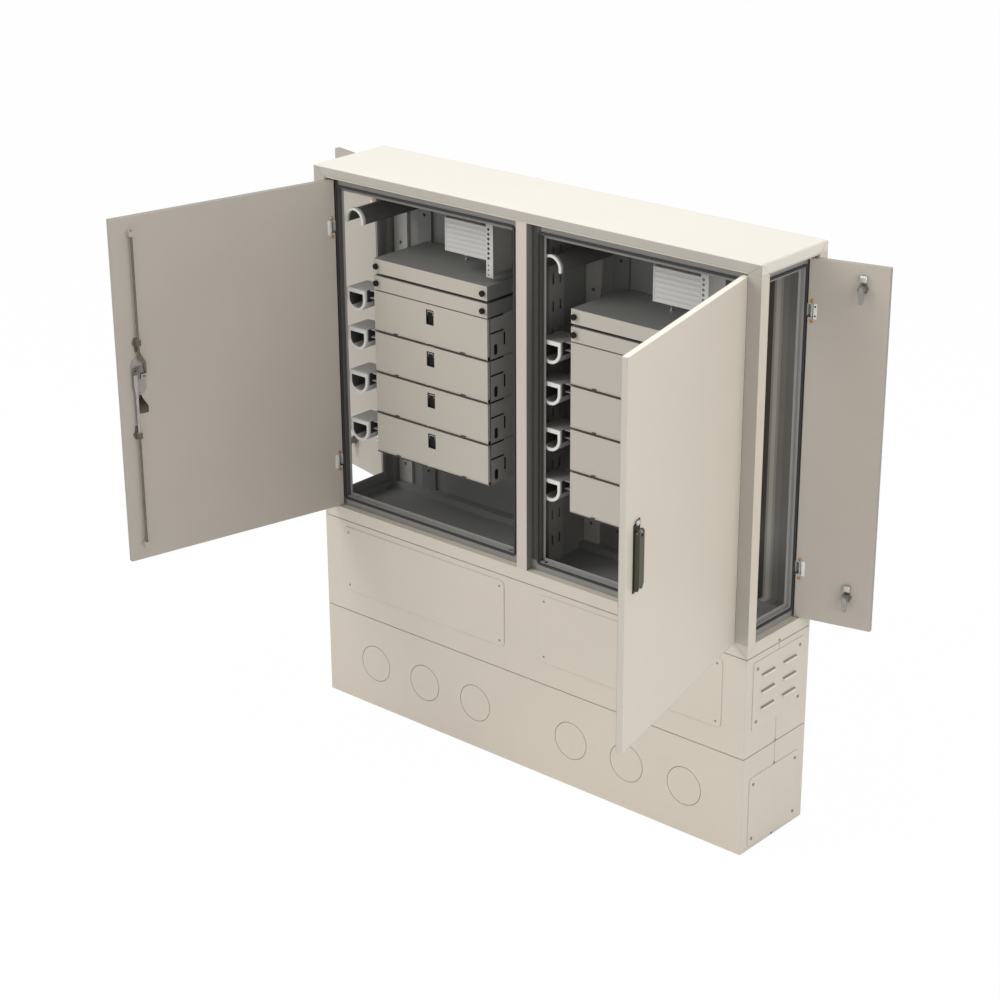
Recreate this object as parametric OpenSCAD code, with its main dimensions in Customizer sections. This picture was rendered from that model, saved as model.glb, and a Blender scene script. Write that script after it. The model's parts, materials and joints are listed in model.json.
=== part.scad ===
// Roadside utility cabinet: a two-bay street cabinet on a pedestal and a plinth.
// Millimetres, Z up, X along the width, front face towards -Y,
// origin on the ground at the centre of the anchor holes.

/* [Cabinet] */
// Overall width of the cabinet
body_w = 1610; // [1560:5:1700]
// Overall depth of the cabinet
body_d = 300; // [296:2:330]
// Height of the buried plinth
plinth_h = 300; // [280:5:340]
// Height of the pedestal on the plinth
pedestal_h = 310; // [300:5:340]
// Height of the equipment body, with its roof
body_h = 1115; // [1100:5:1180]
// Height of the roof rim
rim_h = 28; // [24:1:34]
// Bevel along the top edges of the roof
roof_bevel = 4; // [2:0.5:6]
// Sheet of the shells, the roof and the frame tubes
sheet_t = 2; // [1.5:0.5:2.5]

/* [Frame] */
// Width of a corner post on the front face
post_w = 43; // [40:1:48]
// Width of a corner post on the side face, and depth of the rails
post_d = 36; // [34:1:38]
// Height of the bottom rail
rail_h = 39; // [36:1:44]
// Height of the top rail that shows under the roof rim
top_rail_show = 5; // [3:0.5:8]
// Width of the centre mullion
mullion_w = 38; // [34:1:44]
// Width and depth of the mitre lines on the posts
mitre_line = 0.8; // [0.5:0.1:1.2]

/* [Door seats] */
// Depth of the seat flange behind the face
seat_set = 24; // [23:0.5:25]
// Width of the seat flange
seat_w = 31; // [30:0.5:32]
// Depth of the lip behind the seat flange
seat_lip = 12; // [11:0.5:13]
// Width of the inner flange at the foot of the lip
seat_inner = 10; // [6:0.5:11]
// Gap at the mitres between the sides of a seat
seat_mitre = 0.2; // [0.1:0.05:0.5]
// Distance of the gasket from the edge of the opening
gasket_in = 21.5; // [21:0.25:22]
// Width of the gasket
gasket_w = 6.5; // [5:0.25:7]
// Thickness of the gasket
gasket_t = 5; // [4:0.25:5.5]
// Corner radius of the gasket
gasket_r = 12; // [8:1:16]

/* [Doors] */
// Thickness of a door
door_t = 18; // [17:0.5:19]
// Outer sheet of a door
skin_t = 1.5; // [1.2:0.1:2]
// Inner liner of a door
liner_t = 1.2; // [1:0.1:1.5]
// Gap along the hinge edge and the free edge of a door
door_gap = 3; // [2.5:0.25:3.5]
// Gap under a door
door_gap_low = 2; // [1.5:0.5:4]
// Gap over a door
door_gap_top = 6; // [4:0.5:8]
// Radius of a door's outer vertical edges
door_edge_r = 3; // [2.5:0.25:4]
// Angle by which every door stands open
door_open = 103; // [90:1:104]

/* [Hinges] */
// Height of the hinge bracket's knuckle
bracket_h = 34; // [28:1:40]
// Outside radius of a hinge knuckle
knuckle_r = 5; // [4.5:0.1:5.5]
// Radius of a hinge pin
pin_r = 2.5; // [2:0.1:3]
// Radial running clearance on the hinge pins
pin_clear = 0.05; // [0.02:0.01:0.1]
// Height of a door knuckle
door_knuckle_h = 12; // [10:1:14]
// Thickness of the hinge arm
hinge_arm_t = 4; // [3:0.25:4.5]
// Height of the lower hinges above the bottom of the door opening
hinge_low = 150; // [120:5:200]
// Drop of the upper hinges below the top of the door opening
hinge_top = 150; // [120:5:200]
// Radius of the hinge screw heads
hinge_screw_r = 4; // [3:0.25:4.5]

/* [Handle and lock rods] */
// Distance of the handle spindle from the free edge of the door
spindle_in = 59; // [57:1:66]
// Height of the spindle above the bottom of the door opening
spindle_up = 579; // [520:1:620]
// Radius of the spindle
spindle_r = 8; // [7:0.25:8.5]
// Length of the handle plate below the spindle
plate_low = 158; // [150:1:170]
// Width of the handle plate
plate_w = 34; // [32:1:38]
// Thickness of the handle plate
plate_t = 3; // [2:0.25:4]
// Width of the lever
lever_w = 28; // [26:0.5:30]
// Thickness of the lever
lever_t = 13.4; // [12:0.2:15]
// Radius of the lever pivot pin
lever_pin_r = 2.5; // [2:0.1:3]
// Radius of the drive disc on the spindle
disc_r = 18; // [17:0.5:19]
// Radius at which the drive pins stand on the disc
crank_r = 14; // [13:0.25:14.5]
// Radius of the drive pins
crank_pin_r = 2.5; // [2:0.1:3]
// Radius of a lock rod
rod_r = 3.5; // [3:0.1:3.8]
// Distance of the lock rods from the door's mid-plane
rod_out = 21; // [20.5:0.1:21.2]
// Sideways offset of the lower rod from the spindle
low_rod_side = 14; // [13.5:0.5:15]
// Distance of a drawn-in rod's tip from the seat flange
rod_tip_gap = 12; // [11:0.5:16]
// Clearance round a lock rod in its guides
rod_clear = 0.3; // [0.2:0.05:0.5]

/* [Side door locks] */
// Distance of a lock from the hinge edge of the side door
lock_in = 152; // [140:1:160]
// Height of the lower lock above the bottom of the door opening
lock_low = 95; // [85:1:120]
// Drop of the upper lock below the top of the door opening
lock_top = 67; // [60:1:90]
// Radius of the lock barrel
barrel_r = 11; // [9:0.5:12]
// Radius of the lock plug
plug_r = 5; // [4:0.25:6]
// Length of the cam from the plug's centre
cam_l = 40; // [37:0.5:44]
// Width of the cam
cam_w = 14; // [12:0.5:16]

/* [Equipment] */
// Distance between the two racks
rack_pitch = 757; // [752:1:762]
// Offset of both racks to the left of the centre
rack_shift = 16; // [12:1:20]
// Width of the modules
module_w = 447; // [440:1:450]
// Height taken by one module
module_pitch = 129.2; // [124:0.2:131]
// Number of modules in each rack
module_count = 4; // [4:1:4]
// Room between the top of the modules and the top of the opening
top_room = 326; // [318:1:336]
// Sheet of the modules and drawers
module_t = 1.5; // [1.2:0.1:2]
// Distance of the module fronts behind the front face
module_set = 50; // [48:0.5:56]
// Depth of the edges folded back round a module cover
cover_fold = 10; // [8:0.5:11]
// Gap between neighbouring covers
cover_gap = 1.5; // [1:0.1:2]
// How much shorter each cover is than its module
cover_short = 3; // [2:0.5:4]
// Height of a drawer front
drawer_h = 43; // [40:0.5:44]
// Gap between the two drawers
drawer_gap = 9; // [7:0.5:12]
// Travel of a drawer
drawer_travel = 180; // [150:5:200]
// Radius of the drawer knobs
knob_r = 8; // [6:0.5:9]
// Depth of the mounting rails on the rear panel
rail_depth = 11; // [8:0.5:14]

/* [Cable guides] */
// Width of a cable guide ring
guide_w = 75; // [70:1:78]
// Height of a cable guide ring
guide_h = 68; // [60:1:72]
// Wall of a cable guide
guide_t = 9; // [7:0.5:11]
// Length of a cable guide ring, front to back
guide_l = 88; // [80:1:100]
// Gap between the guide rings and the modules
guide_gap = 31; // [28:1:36]
// Drops of the guide centres below the top of the modules
guide_drops = [46, 169, 308, 463]; // [30:1:500]
// Height of the upper guide's floor above the top of the modules
arch_up = 190; // [182:1:196]

/* [Splitters] */
// Width of a splitter cassette
cassette_w = 158; // [150:1:165]
// Pitch of the cassettes
cassette_pitch = 14.2; // [13:0.1:15]
// Number of cassettes
cassette_count = 7; // [5:1:7]
// Depth of a cassette
cassette_d = 110; // [90:1:120]
// Height of the lowest cassette above the top of the modules
splitter_up = 158; // [150:1:165]
// Distance of the cassettes' fronts behind the front face
splitter_set = 90; // [80:1:100]

/* [Base plates and louvres] */
// Height of the front cover plates of the pedestal
cover_plate_h = 214; // [200:1:230]
// Inset of the cover plates from the ends of the cabinet
cover_plate_in = 80; // [70:1:100]
// Distance between a cover plate and the centre line
cover_plate_mid = 68; // [50:1:90]
// Thickness of the cover plates
plate_sheet = 2; // [1.5:0.1:2.5]
// Width of the side plates, front to back
side_plate_w = 240; // [220:1:250]
// Height of the vent plates on the pedestal
vent_plate_h = 208; // [195:1:220]
// Height of the side plates on the plinth
foot_plate_h = 219; // [200:1:230]
// Length of a louvre
louvre_l = 60; // [50:1:70]
// Radius of a louvre's hood
louvre_r = 9; // [7:0.5:11]
// Pitch of the louvres
louvre_pitch = 51; // [40:1:56]
// Diameter of the duct openings in the plinth
duct_d = 120; // [100:1:130]
// Distance between neighbouring duct openings
duct_pitch = 208; // [190:1:220]
// Distance of the duct openings from the ends of the cabinet
duct_in = 201; // [180:1:215]
// Height of the duct openings
duct_up = 149; // [120:1:165]
// Gap round a duct plug
duct_line = 1.8; // [1:0.1:2]
// Width of the flanges of the plinth and pedestal
base_flange = 45; // [40:1:55]
// Distance of the anchor holes from the ends
anchor_in_x = 65; // [55:1:80]
// Distance of the anchor holes from the front and the back
anchor_in_y = 30; // [25:1:35]
// Radius of the anchor holes
anchor_r = 7; // [6:0.5:8]
// Distance of the shells' side seam behind the centre line
side_mid_y = 2; // [0:1:6]
// Radius of the plate screws' heads
screw_r = 5; // [4:0.25:6]
// Radius of the bolt heads along the seams
seam_bolt_r = 3.8; // [3:0.1:4.5]
// Room left between a seam bolt and a foot plate's edge
seam_bolt_clear = 0.2; // [0.1:0.05:0.5]

/* [Hidden] */
$fn = 48;
half_w = body_w / 2;
half_d = body_d / 2;

// Levels
ped_z = plinth_h;
body_z = plinth_h + pedestal_h;
open_z = body_z + rail_h;
roof_z = body_z + body_h - rim_h;
open_top = roof_z - top_rail_show;
open_h = open_top - open_z;
floor_z = body_z + 16;

// Openings for the doors
bay_w = half_w - post_w - mullion_w / 2;
side_w = body_d - 2 * post_d;

// Doors, in a frame of their own: x from the hinge towards the free edge, y towards the inside
axis_in = door_t / 2;
axis_off = axis_in + door_gap;
front_door_w = bay_w - 2 * door_gap;
side_door_w = side_w - 2 * door_gap;
door_z = open_z + door_gap_low;
door_h = open_h - door_gap_low - door_gap_top;
hinge_z = [open_z + hinge_low, open_top - hinge_top];
notch_clear = 1;
notch_x = 6;
leaf_gap = 0.3;

// Handle and rods
spindle_x = front_door_w - axis_in - spindle_in;
spindle_z = open_z + spindle_up;
plate_y = -door_t / 2 - plate_t;
lever_gap = 0.5;
lever_y = plate_y - lever_gap - lever_t / 2;
lever_end = lever_t / 2;
lever_l = plate_low - 6;
hub_block = 6;
disc_y = door_t / 2 + 4;
disc_t = 4;
rod_stroke = 2 * crank_r * sin(45);
yoke_t = 3;
yoke_clear = 0.7;
yoke_rim = 4;
strap_half = 4;
strap_wide = 40;
strap_narrow = 60;
strap_end = 160;
strap_over = 10;
guide_near = [92, 188];
guide_far = [52, 51];
guide_up_z = [spindle_z + guide_near[0], open_top - guide_far[0]];
guide_low_z = [spindle_z - guide_near[1], open_z + guide_far[1]];
high_tip = open_top - seat_w - rod_tip_gap;
low_tip = open_z + seat_w + rod_tip_gap;

// Locks of the side doors
lock_x = lock_in - axis_in;
lock_z = [open_z + lock_low, open_top - lock_top];
cam_y = seat_set + sheet_t + seat_lip + 1 - axis_in;
cam_t = 3;

// Equipment
stack_top = open_top - top_room;
front_y = -half_d + module_set;
chassis_y = front_y + cover_fold + 2;
back_y = half_d - 2 * sheet_t;
rack_back = back_y - rail_depth;
cover_axis_y = front_y + module_t / 2;
cover_axis_up = 3.5;
lug_r = 3;
lug_w = 10;
lug_in = 89.4;
lug_x = module_w / 2 - lug_in;
latch_drop = 16;
lug_pin_r = 1.5;
drawer_z = [stack_top, stack_top + drawer_h + drawer_gap];
slide_gap = 0.3;
latch_w = 30;
latch_h = 46;
latch_deep = 6;
latch_bar = 12;
latch_bar_in = 4;
lug_play = 0.4;
fold_foot = 10;
finger_cut = [26, 4];
side_slots = [60, 130];
side_slot_d = 8;
panel_set = 90;
panel_t = 2;
adapter_size = [13, 15, 24];
adapter_count = 12;
adapter_pitch = 34;
tray_clear = 2;
tray_short = 8;
knob_in = 14;
knob_out = 5;

// Cable guides
guide_x = module_w / 2 + guide_gap + guide_w / 2;
guide_y = front_y - 8;
guide_lip = 12;
strip_w = 55;
strip_clear = 1.5;
strip_depth = rail_depth - strip_clear;
strip_x = [-module_w / 2 - 111.5, -module_w / 2 - 11.5];
strip_hole_r = 5;
strip_hole_in = 60;
strip_pitch = 104;
rail_in = 53.5;
rail_w = 40;

// Splitters
splitter_y = -half_d + splitter_set;
splitter_x = 107;
cassette_gap = 0.6;
holder_flange = 26;
port_r = 4.5;
port_in = 9;
hanger_t = 2;
hanger_drop = 50;
hanger_set = 6;
hanger_gap = 0.3;
hanger_holes = 3;
hanger_pitch = 14;
hanger_hole_r = 2.5;
label_wall = 5;
label_foot = 3;

// Base
seam_line = 3;
seam_deep = 1.4;
cover_plate_up = 75;
cover_opening_in = 25;
foot_opening_in = 35;
vent_opening_in = [30, 25];
louvre_side = 52;
plug_rim = 5;
head_h = 2.5;
low_head_h = 1.2;
low_head_share = 0.7;
head_slot = [1.2, 1];
vent_z = ped_z + 80;
foot_z = 10;
plate_r = 15;
screw_in = 18;
corner_screw_in = screw_in + 5;
seam_bolt_out = seam_bolt_r + seam_bolt_clear;
seam_bolts = [
    foot_z - seam_bolt_out, foot_z + foot_plate_h + seam_bolt_out,
    ped_z + seam_bolt_out + 1, body_z + seam_bolt_out + 2
];

function rack_x(side) = -rack_shift + side * rack_pitch / 2;
function module_z(k) = stack_top - (k + 1) * module_pitch + cover_gap / 2;

// General shapes

module box(x0, y0, z0, x1, y1, z1) {
    translate([x0, y0, z0]) cube([x1 - x0, y1 - y0, z1 - z0]);
}

module round_rect(w, h, r) {
    square([w - 2 * r, h], center = true);
    square([w, h - 2 * r], center = true);
    for (sx = [-1, 1], sy = [-1, 1])
        translate([sx * (w / 2 - r), sy * (h / 2 - r)]) circle(r);
}

// A box section that runs along Z, open at both ends
module tube(w, d, h, t) {
    difference() {
        cube([w, d, h]);
        translate([t, t, -1]) cube([w - 2 * t, d - 2 * t, h + 2]);
    }
}

module both_sides() {
    children();
    mirror([1, 0, 0]) children();
}

// Turns a shape drawn in X and Y so that it stands in the X-Z plane, extruded towards -Y
module upright(depth) {
    rotate([90, 0, 0]) linear_extrude(depth) children();
}

// Turns a shape drawn as (Y, Z) so that it is extruded along +X
module across(width) {
    rotate([90, 0, 90]) linear_extrude(width) children();
}

// Plinth and pedestal

module base_shell(z0, h, front) {
    s = front ? -1 : 1;
    wall_y = s * half_d;
    module slab(x0, x1, ya, yb, za, zb) {
        box(x0, min(ya, yb), za, x1, max(ya, yb), zb);
    }
    slab(-half_w, half_w, wall_y, wall_y - s * sheet_t, z0, z0 + h);
    both_sides() slab(half_w - sheet_t, half_w, wall_y, side_mid_y, z0, z0 + h);
    for (z = [z0, z0 + h - sheet_t]) {
        slab(-half_w, half_w, wall_y, wall_y - s * base_flange, z, z + sheet_t);
        both_sides() slab(half_w - base_flange, half_w, wall_y, side_mid_y, z, z + sheet_t);
    }
}

// Shadow line where the shells meet what stands above and below them
module seam_cut(z) {
    difference() {
        box(-half_w - 1, -half_d - 1, z, half_w + 1, half_d + 1, z + seam_line);
        box(-half_w + seam_deep, -half_d + seam_deep, z - 1, half_w - seam_deep, half_d - seam_deep,
            z + seam_line + 1);
    }
}

module anchor_cut() {
    for (sx = [-1, 1], sy = [-1, 1])
        translate([sx * (half_w - anchor_in_x), sy * (half_d - anchor_in_y), -1])
            cylinder(r = anchor_r, h = 2 * sheet_t);
}

module foot_hatch_cut() {
    for (s = [-1, 1])
        translate([s * half_w, side_mid_y, foot_z + foot_plate_h / 2])
            cube([20, side_plate_w - 2 * foot_opening_in, foot_plate_h - 2 * foot_opening_in],
                 center = true);
}

module vent_hatch_cut() {
    for (s = [-1, 1])
        translate([s * half_w, side_mid_y, vent_z + vent_plate_h / 2])
            cube([20, side_plate_w - 2 * vent_opening_in[0], vent_plate_h - 2 * vent_opening_in[1]],
                 center = true);
}

function duct_places() = [for (s = [-1, 1], k = [0:2]) s * (half_w - duct_in - k * duct_pitch)];

module plinth_front_shell() {
    color("antiquewhite") difference() {
        base_shell(0, plinth_h, true);
        for (x = duct_places())
            translate([x, -half_d - 1, duct_up]) rotate([-90, 0, 0])
                cylinder(d = duct_d, h = sheet_t + 2, $fn = 96);
        anchor_cut();
        foot_hatch_cut();
    }
}

module plinth_rear_shell() {
    color("antiquewhite") difference() {
        base_shell(0, plinth_h, false);
        anchor_cut();
        foot_hatch_cut();
    }
}

// Plugs that close the duct openings, each with a rim behind the wall
module duct_plugs() {
    color("antiquewhite") for (x = duct_places())
        translate([x, -half_d, duct_up]) rotate([-90, 0, 0]) {
            cylinder(d = duct_d - 2 * duct_line, h = sheet_t, $fn = 96);
            translate([0, 0, sheet_t]) cylinder(d = duct_d + 2 * plug_rim, h = sheet_t, $fn = 96);
        }
}

module cover_plate_shape(inset) {
    w = half_w - cover_plate_in - cover_plate_mid - 2 * inset;
    translate([cover_plate_mid + inset + w / 2, 0])
        round_rect(w, cover_plate_h - 2 * inset, max(plate_r - inset, 2));
}

module cover_plate_place() {
    translate([0, -half_d, ped_z + cover_plate_up + cover_plate_h / 2]) children();
}

module pedestal_front_shell() {
    color("antiquewhite") difference() {
        base_shell(ped_z, pedestal_h, true);
        vent_hatch_cut();
        for (z = [ped_z, body_z - seam_line]) seam_cut(z);
        both_sides() cover_plate_place()
            translate([0, sheet_t + 1, 0]) upright(sheet_t + 2) cover_plate_shape(cover_opening_in);
    }
}

module pedestal_rear_shell() {
    color("antiquewhite") difference() {
        base_shell(ped_z, pedestal_h, false);
        vent_hatch_cut();
        for (z = [ped_z, body_z - seam_line]) seam_cut(z);
    }
}

module pedestal_cover_plates() {
    color("antiquewhite") both_sides() cover_plate_place() upright(plate_sheet) cover_plate_shape(0);
}

// A pressed hood, open downwards, over a slot of its own
module louvre_hood() {
    difference() {
        rotate([90, 0, 0]) cylinder(r = louvre_r, h = louvre_l, center = true);
        rotate([90, 0, 0])
            cylinder(r = louvre_r - plate_sheet, h = louvre_l - 2 * plate_sheet, center = true);
        translate([-2 * louvre_r, -louvre_l, -louvre_r]) cube([2 * louvre_r, 2 * louvre_l, 3 * louvre_r]);
        translate([-louvre_r, -louvre_l, -2 * louvre_r]) cube([3 * louvre_r, 2 * louvre_l, 2 * louvre_r]);
    }
}

module louvre_places() {
    for (y = [-louvre_side, louvre_side], k = [-1:1])
        translate([0, y, vent_plate_h / 2 + k * louvre_pitch]) children();
}

module vent_plate() {
    translate([half_w, side_mid_y, vent_z]) {
        difference() {
            translate([0, 0, vent_plate_h / 2]) across(plate_sheet)
                round_rect(side_plate_w, vent_plate_h, plate_r / 2);
            louvre_places() translate([-1, -louvre_l / 2 + plate_sheet, 0])
                cube([plate_sheet + 2, louvre_l - 2 * plate_sheet, louvre_r - plate_sheet]);
        }
        louvre_places() louvre_hood();
    }
}

module pedestal_vent_plates() {
    color("antiquewhite") both_sides() vent_plate();
}

module plinth_side_plates() {
    color("antiquewhite") both_sides()
        translate([half_w, side_mid_y, foot_z + foot_plate_h / 2]) across(plate_sheet)
            round_rect(side_plate_w, foot_plate_h, plate_r);
}

// Domed head of a screw, standing out along +Z
module screw_head(r, h) {
    difference() {
        intersection() {
            cylinder(r = r, h = h);
            translate([0, 0, h - 2 * r]) sphere(r = 2 * r);
        }
        translate([-r, -head_slot[0] / 2, h - head_slot[1]]) cube([2 * r, head_slot[0], 2 * head_slot[1]]);
    }
}

module plate_screws() {
    color("silver") both_sides() {
        for (zone = [[vent_z, vent_plate_h], [foot_z, foot_plate_h]],
             sy = [-1, 1], top = [0, 1])
            translate([half_w + plate_sheet, side_mid_y + sy * (side_plate_w / 2 - screw_in),
                       zone[0] + (top ? zone[1] - corner_screw_in : corner_screw_in)])
                rotate([0, 90, 0]) screw_head(screw_r, head_h);
        for (z = seam_bolts)
            translate([half_w, side_mid_y, z]) rotate([0, 90, 0]) screw_head(seam_bolt_r, head_h);
        cover_plate_place() for (sx = [0, 1], sz = [-1, 1])
            translate([sx ? half_w - cover_plate_in - screw_in : cover_plate_mid + screw_in,
                       -plate_sheet, sz * (cover_plate_h / 2 - screw_in)])
                rotate([90, 0, 0]) screw_head(screw_r * low_head_share, low_head_h);
    }
}

// Frame of the equipment body

// Engraved line on a front face, from the inner corner of the opening to the outer corner
module mitre_cut(x0, z0, x1, z1) {
    run = norm([x1 - x0, z1 - z0]);
    translate([x0, 0, z0]) rotate([0, -atan2(z1 - z0, x1 - x0), 0])
        translate([-1, -mitre_line, -mitre_line / 2]) cube([run + 2, 2 * mitre_line, mitre_line]);
}

module corner_post() {
    difference() {
        translate([half_w - post_w, -half_d, body_z]) tube(post_w, post_d, roof_z - body_z, sheet_t);
        translate([0, -half_d, 0]) {
            mitre_cut(half_w - post_w, open_z, half_w, body_z);
            mitre_cut(half_w - post_w, open_top, half_w, roof_z + rim_h);
        }
        translate([half_w, 0, 0]) rotate([0, 0, 90]) {
            mitre_cut(-half_d + post_d, open_z, -half_d, body_z);
            mitre_cut(-half_d + post_d, open_top, -half_d, roof_z + rim_h);
        }
    }
}

module corner_posts() {
    color("antiquewhite") both_sides() {
        corner_post();
        mirror([0, 1, 0]) corner_post();
    }
}

module long_rail(z0, z1, set) {
    x1 = half_w - post_w;
    difference() {
        box(-x1, -half_d + set, z0, x1, -half_d + post_d, z1);
        box(-x1 - 1, -half_d + set + sheet_t, z0 + sheet_t,
            x1 + 1, -half_d + post_d - sheet_t, z1 - sheet_t);
    }
}

module side_rail(z0, z1, set) {
    y1 = half_d - post_d;
    difference() {
        box(half_w - post_d, -y1, z0, half_w - set, y1, z1);
        box(half_w - post_d + sheet_t, -y1 - 1, z0 + sheet_t, half_w - set - sheet_t, y1 + 1, z1 - sheet_t);
    }
}

module frame_rails() {
    color("antiquewhite") for (level = [[body_z, open_z, 0],
                                      [open_top, roof_z + rim_h - sheet_t, sheet_t]]) {
        long_rail(level[0], level[1], level[2]);
        mirror([0, 1, 0]) long_rail(level[0], level[1], level[2]);
        both_sides() side_rail(level[0], level[1], level[2]);
    }
}

// Mullion between the bays, with the partition behind it and its slotted cable rail
module centre_partition() {
    panel_x = -3;
    face_x = panel_x + sheet_t;
    rail_y = -38;
    rail_w = 66;
    rail_t = 10;
    slot = [8, 30];
    color("gray") {
        translate([-mullion_w / 2, -half_d, open_z]) tube(mullion_w, post_d, open_h, sheet_t);
        box(panel_x, -half_d + post_d, floor_z + sheet_t, face_x, half_d - post_d, open_top);
        box(panel_x, half_d - post_d, open_z, face_x, back_y, open_top);
        difference() {
            box(face_x, rail_y, floor_z + sheet_t, face_x + rail_t, rail_y + rail_w, open_top);
            box(face_x - 1, rail_y + sheet_t, floor_z, face_x + rail_t - sheet_t, rail_y + rail_w - sheet_t,
                open_top + 1);
            for (z = [floor_z + 60 : 80 : open_top - 60], s = [-1, 1])
                translate([face_x + rail_t, rail_y + rail_w / 2 + s * 16, z + slot[1] / 2])
                    cube([3 * sheet_t, slot[0], slot[1]], center = true);
        }
    }
}

module roof_cap() {
    top = roof_z + rim_h;
    color("ivory") difference() {
        box(-half_w, -half_d, roof_z, half_w, half_d, top);
        box(-half_w + sheet_t, -half_d + sheet_t, roof_z - 1,
            half_w - sheet_t, half_d - sheet_t, top - sheet_t);
        for (s = [-1, 1]) {
            translate([0, s * half_d, top]) rotate([45, 0, 0])
                cube([body_w + 20, roof_bevel, roof_bevel], center = true);
            translate([s * half_w, 0, top]) rotate([0, 45, 0])
                cube([roof_bevel, body_d + 20, roof_bevel], center = true);
        }
        for (sx = [-1, 1], sy = [-1, 1]) scale([sx, sy, 1]) roof_mitres();
    }
}

// The mitre lines run on over the ends of the roof rim
module roof_mitres() {
    translate([0, -half_d, 0]) mitre_cut(half_w - post_w, open_top, half_w, roof_z + rim_h);
    translate([half_w, 0, 0]) rotate([0, 0, 90])
        mitre_cut(-half_d + post_d, open_top, -half_d, roof_z + rim_h);
}

module rear_panel() {
    x1 = half_w - post_w;
    color("antiquewhite") box(-x1, back_y, open_z, x1, back_y + sheet_t, open_top);
}

module cabinet_floor() {
    x1 = half_w - post_d;
    y1 = half_d - post_d;
    color("dimgray") box(-x1, -y1, floor_z, x1, y1, floor_z + sheet_t);
}

// Door seats

// Section of a seat, as (depth, inward) from the edge of the opening: flange, lip, inner flange
module seat_section() {
    lip_back = seat_set + seat_lip;
    polygon([
        [seat_set, 0], [seat_set, seat_w], [lip_back, seat_w], [lip_back, seat_w + seat_inner],
        [lip_back + sheet_t, seat_w + seat_inner], [lip_back + sheet_t, seat_w - sheet_t],
        [seat_set + sheet_t, seat_w - sheet_t], [seat_set + sheet_t, 0]
    ]);
}

// One side of a seat of length l along +X, inward is +Z, mitred at both ends
module seat_side(l) {
    block = 4 * seat_w;
    difference() {
        across(l) seat_section();
        rotate([0, 45, 0]) translate([-block + seat_mitre / 2, 0, -block / 2]) cube(block);
        translate([l, 0, 0]) rotate([0, -45, 0]) translate([-seat_mitre / 2, 0, -block / 2]) cube(block);
    }
}

// The four sides round an opening w wide and h high, face in the X-Z plane, depth along +Y
module seat_frame(w, h) {
    translate([-w / 2, 0, 0]) seat_side(w);
    translate([w / 2, 0, h]) rotate([0, 180, 0]) seat_side(w);
    translate([-w / 2, 0, h]) rotate([0, 90, 0]) seat_side(h);
    translate([w / 2, 0, 0]) rotate([0, -90, 0]) seat_side(h);
}

module right_bay_place() {
    translate([mullion_w / 2 + bay_w / 2, -half_d, open_z]) children();
}

module side_place() {
    translate([half_w, 0, open_z]) rotate([0, 0, 90]) children();
}

// Slots in the lips that the lock rods pass through
module keeper_slots() {
    free_x = mullion_w / 2 + door_gap;
    for (slot = [[spindle_in, open_top - seat_w - 1],
                 [spindle_in - low_rod_side, open_z + seat_w - sheet_t - 1]])
        translate([free_x + slot[0], -half_d + seat_set + sheet_t + seat_lip / 2 - 1,
                   slot[1] + sheet_t / 2 + 1])
            cube([2 * rod_r + 5, seat_lip - 2, sheet_t + 4], center = true);
}

module door_seats() {
    color("darkgray") both_sides() {
        difference() {
            right_bay_place() seat_frame(bay_w, open_h);
            keeper_slots();
        }
        side_place() seat_frame(side_w, open_h);
    }
}

module gasket_ring(w, h) {
    outer_w = w - 2 * gasket_in;
    outer_h = h - 2 * gasket_in;
    translate([0, seat_set, h / 2]) upright(gasket_t) difference() {
        round_rect(outer_w, outer_h, gasket_r);
        round_rect(outer_w - 2 * gasket_w, outer_h - 2 * gasket_w, gasket_r - gasket_w + 1);
    }
}

module door_gaskets() {
    color("dimgray") both_sides() {
        right_bay_place() gasket_ring(bay_w, open_h);
        side_place() gasket_ring(side_w, open_h);
    }
}

// Places of the doors: each is drawn closed in its own frame and turned by an angle

module front_door_place(angle) {
    translate([-half_w + post_w + axis_off, -half_d + axis_in, 0]) rotate([0, 0, -angle]) children();
}

module side_door_place(angle) {
    translate([-half_w + axis_in, half_d - post_d - axis_off, 0]) rotate([0, 0, -90 - angle]) children();
}

// Hinges

// Bracket on the seat flange, in the closed door's frame
module hinge_bracket() {
    seat_y = seat_set - axis_in;
    difference() {
        union() {
            cylinder(r = knuckle_r, h = bracket_h, center = true);
            translate([-hinge_arm_t / 2, 0, -bracket_h / 2]) cube([hinge_arm_t, seat_y - 1, bracket_h]);
            translate([-axis_off + 0.5, seat_y - 2, -bracket_h / 2])
                cube([axis_off - 0.5 + gasket_in - axis_off - 0.5, 2, bracket_h]);
        }
        cylinder(r = pin_r + pin_clear, h = bracket_h + 2, center = true);
    }
}

module hinge_brackets() {
    color("silver") both_sides() for (z = hinge_z) {
        front_door_place(0) translate([0, 0, z]) hinge_bracket();
        side_door_place(0) translate([0, 0, z]) hinge_bracket();
    }
}

// Doors

module hinge_notches() {
    for (z = hinge_z)
        translate([-axis_in - 1, -door_t / 2 + skin_t, z - bracket_h / 2 - notch_clear])
            cube([axis_in + 1 + notch_x, door_t + 2, bracket_h + 2 * notch_clear]);
}

module door_skin(w) {
    d = door_t - liner_t;
    difference() {
        translate([-axis_in, -door_t / 2, door_z]) linear_extrude(door_h) {
            translate([door_edge_r, 0]) square([w - 2 * door_edge_r, d]);
            translate([0, door_edge_r]) square([w, d - door_edge_r]);
            for (x = [door_edge_r, w - door_edge_r]) translate([x, door_edge_r]) circle(door_edge_r);
        }
        translate([-axis_in + skin_t, -door_t / 2 + skin_t, door_z + skin_t])
            cube([w - 2 * skin_t, d, door_h - 2 * skin_t]);
        hinge_notches();
    }
}

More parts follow.
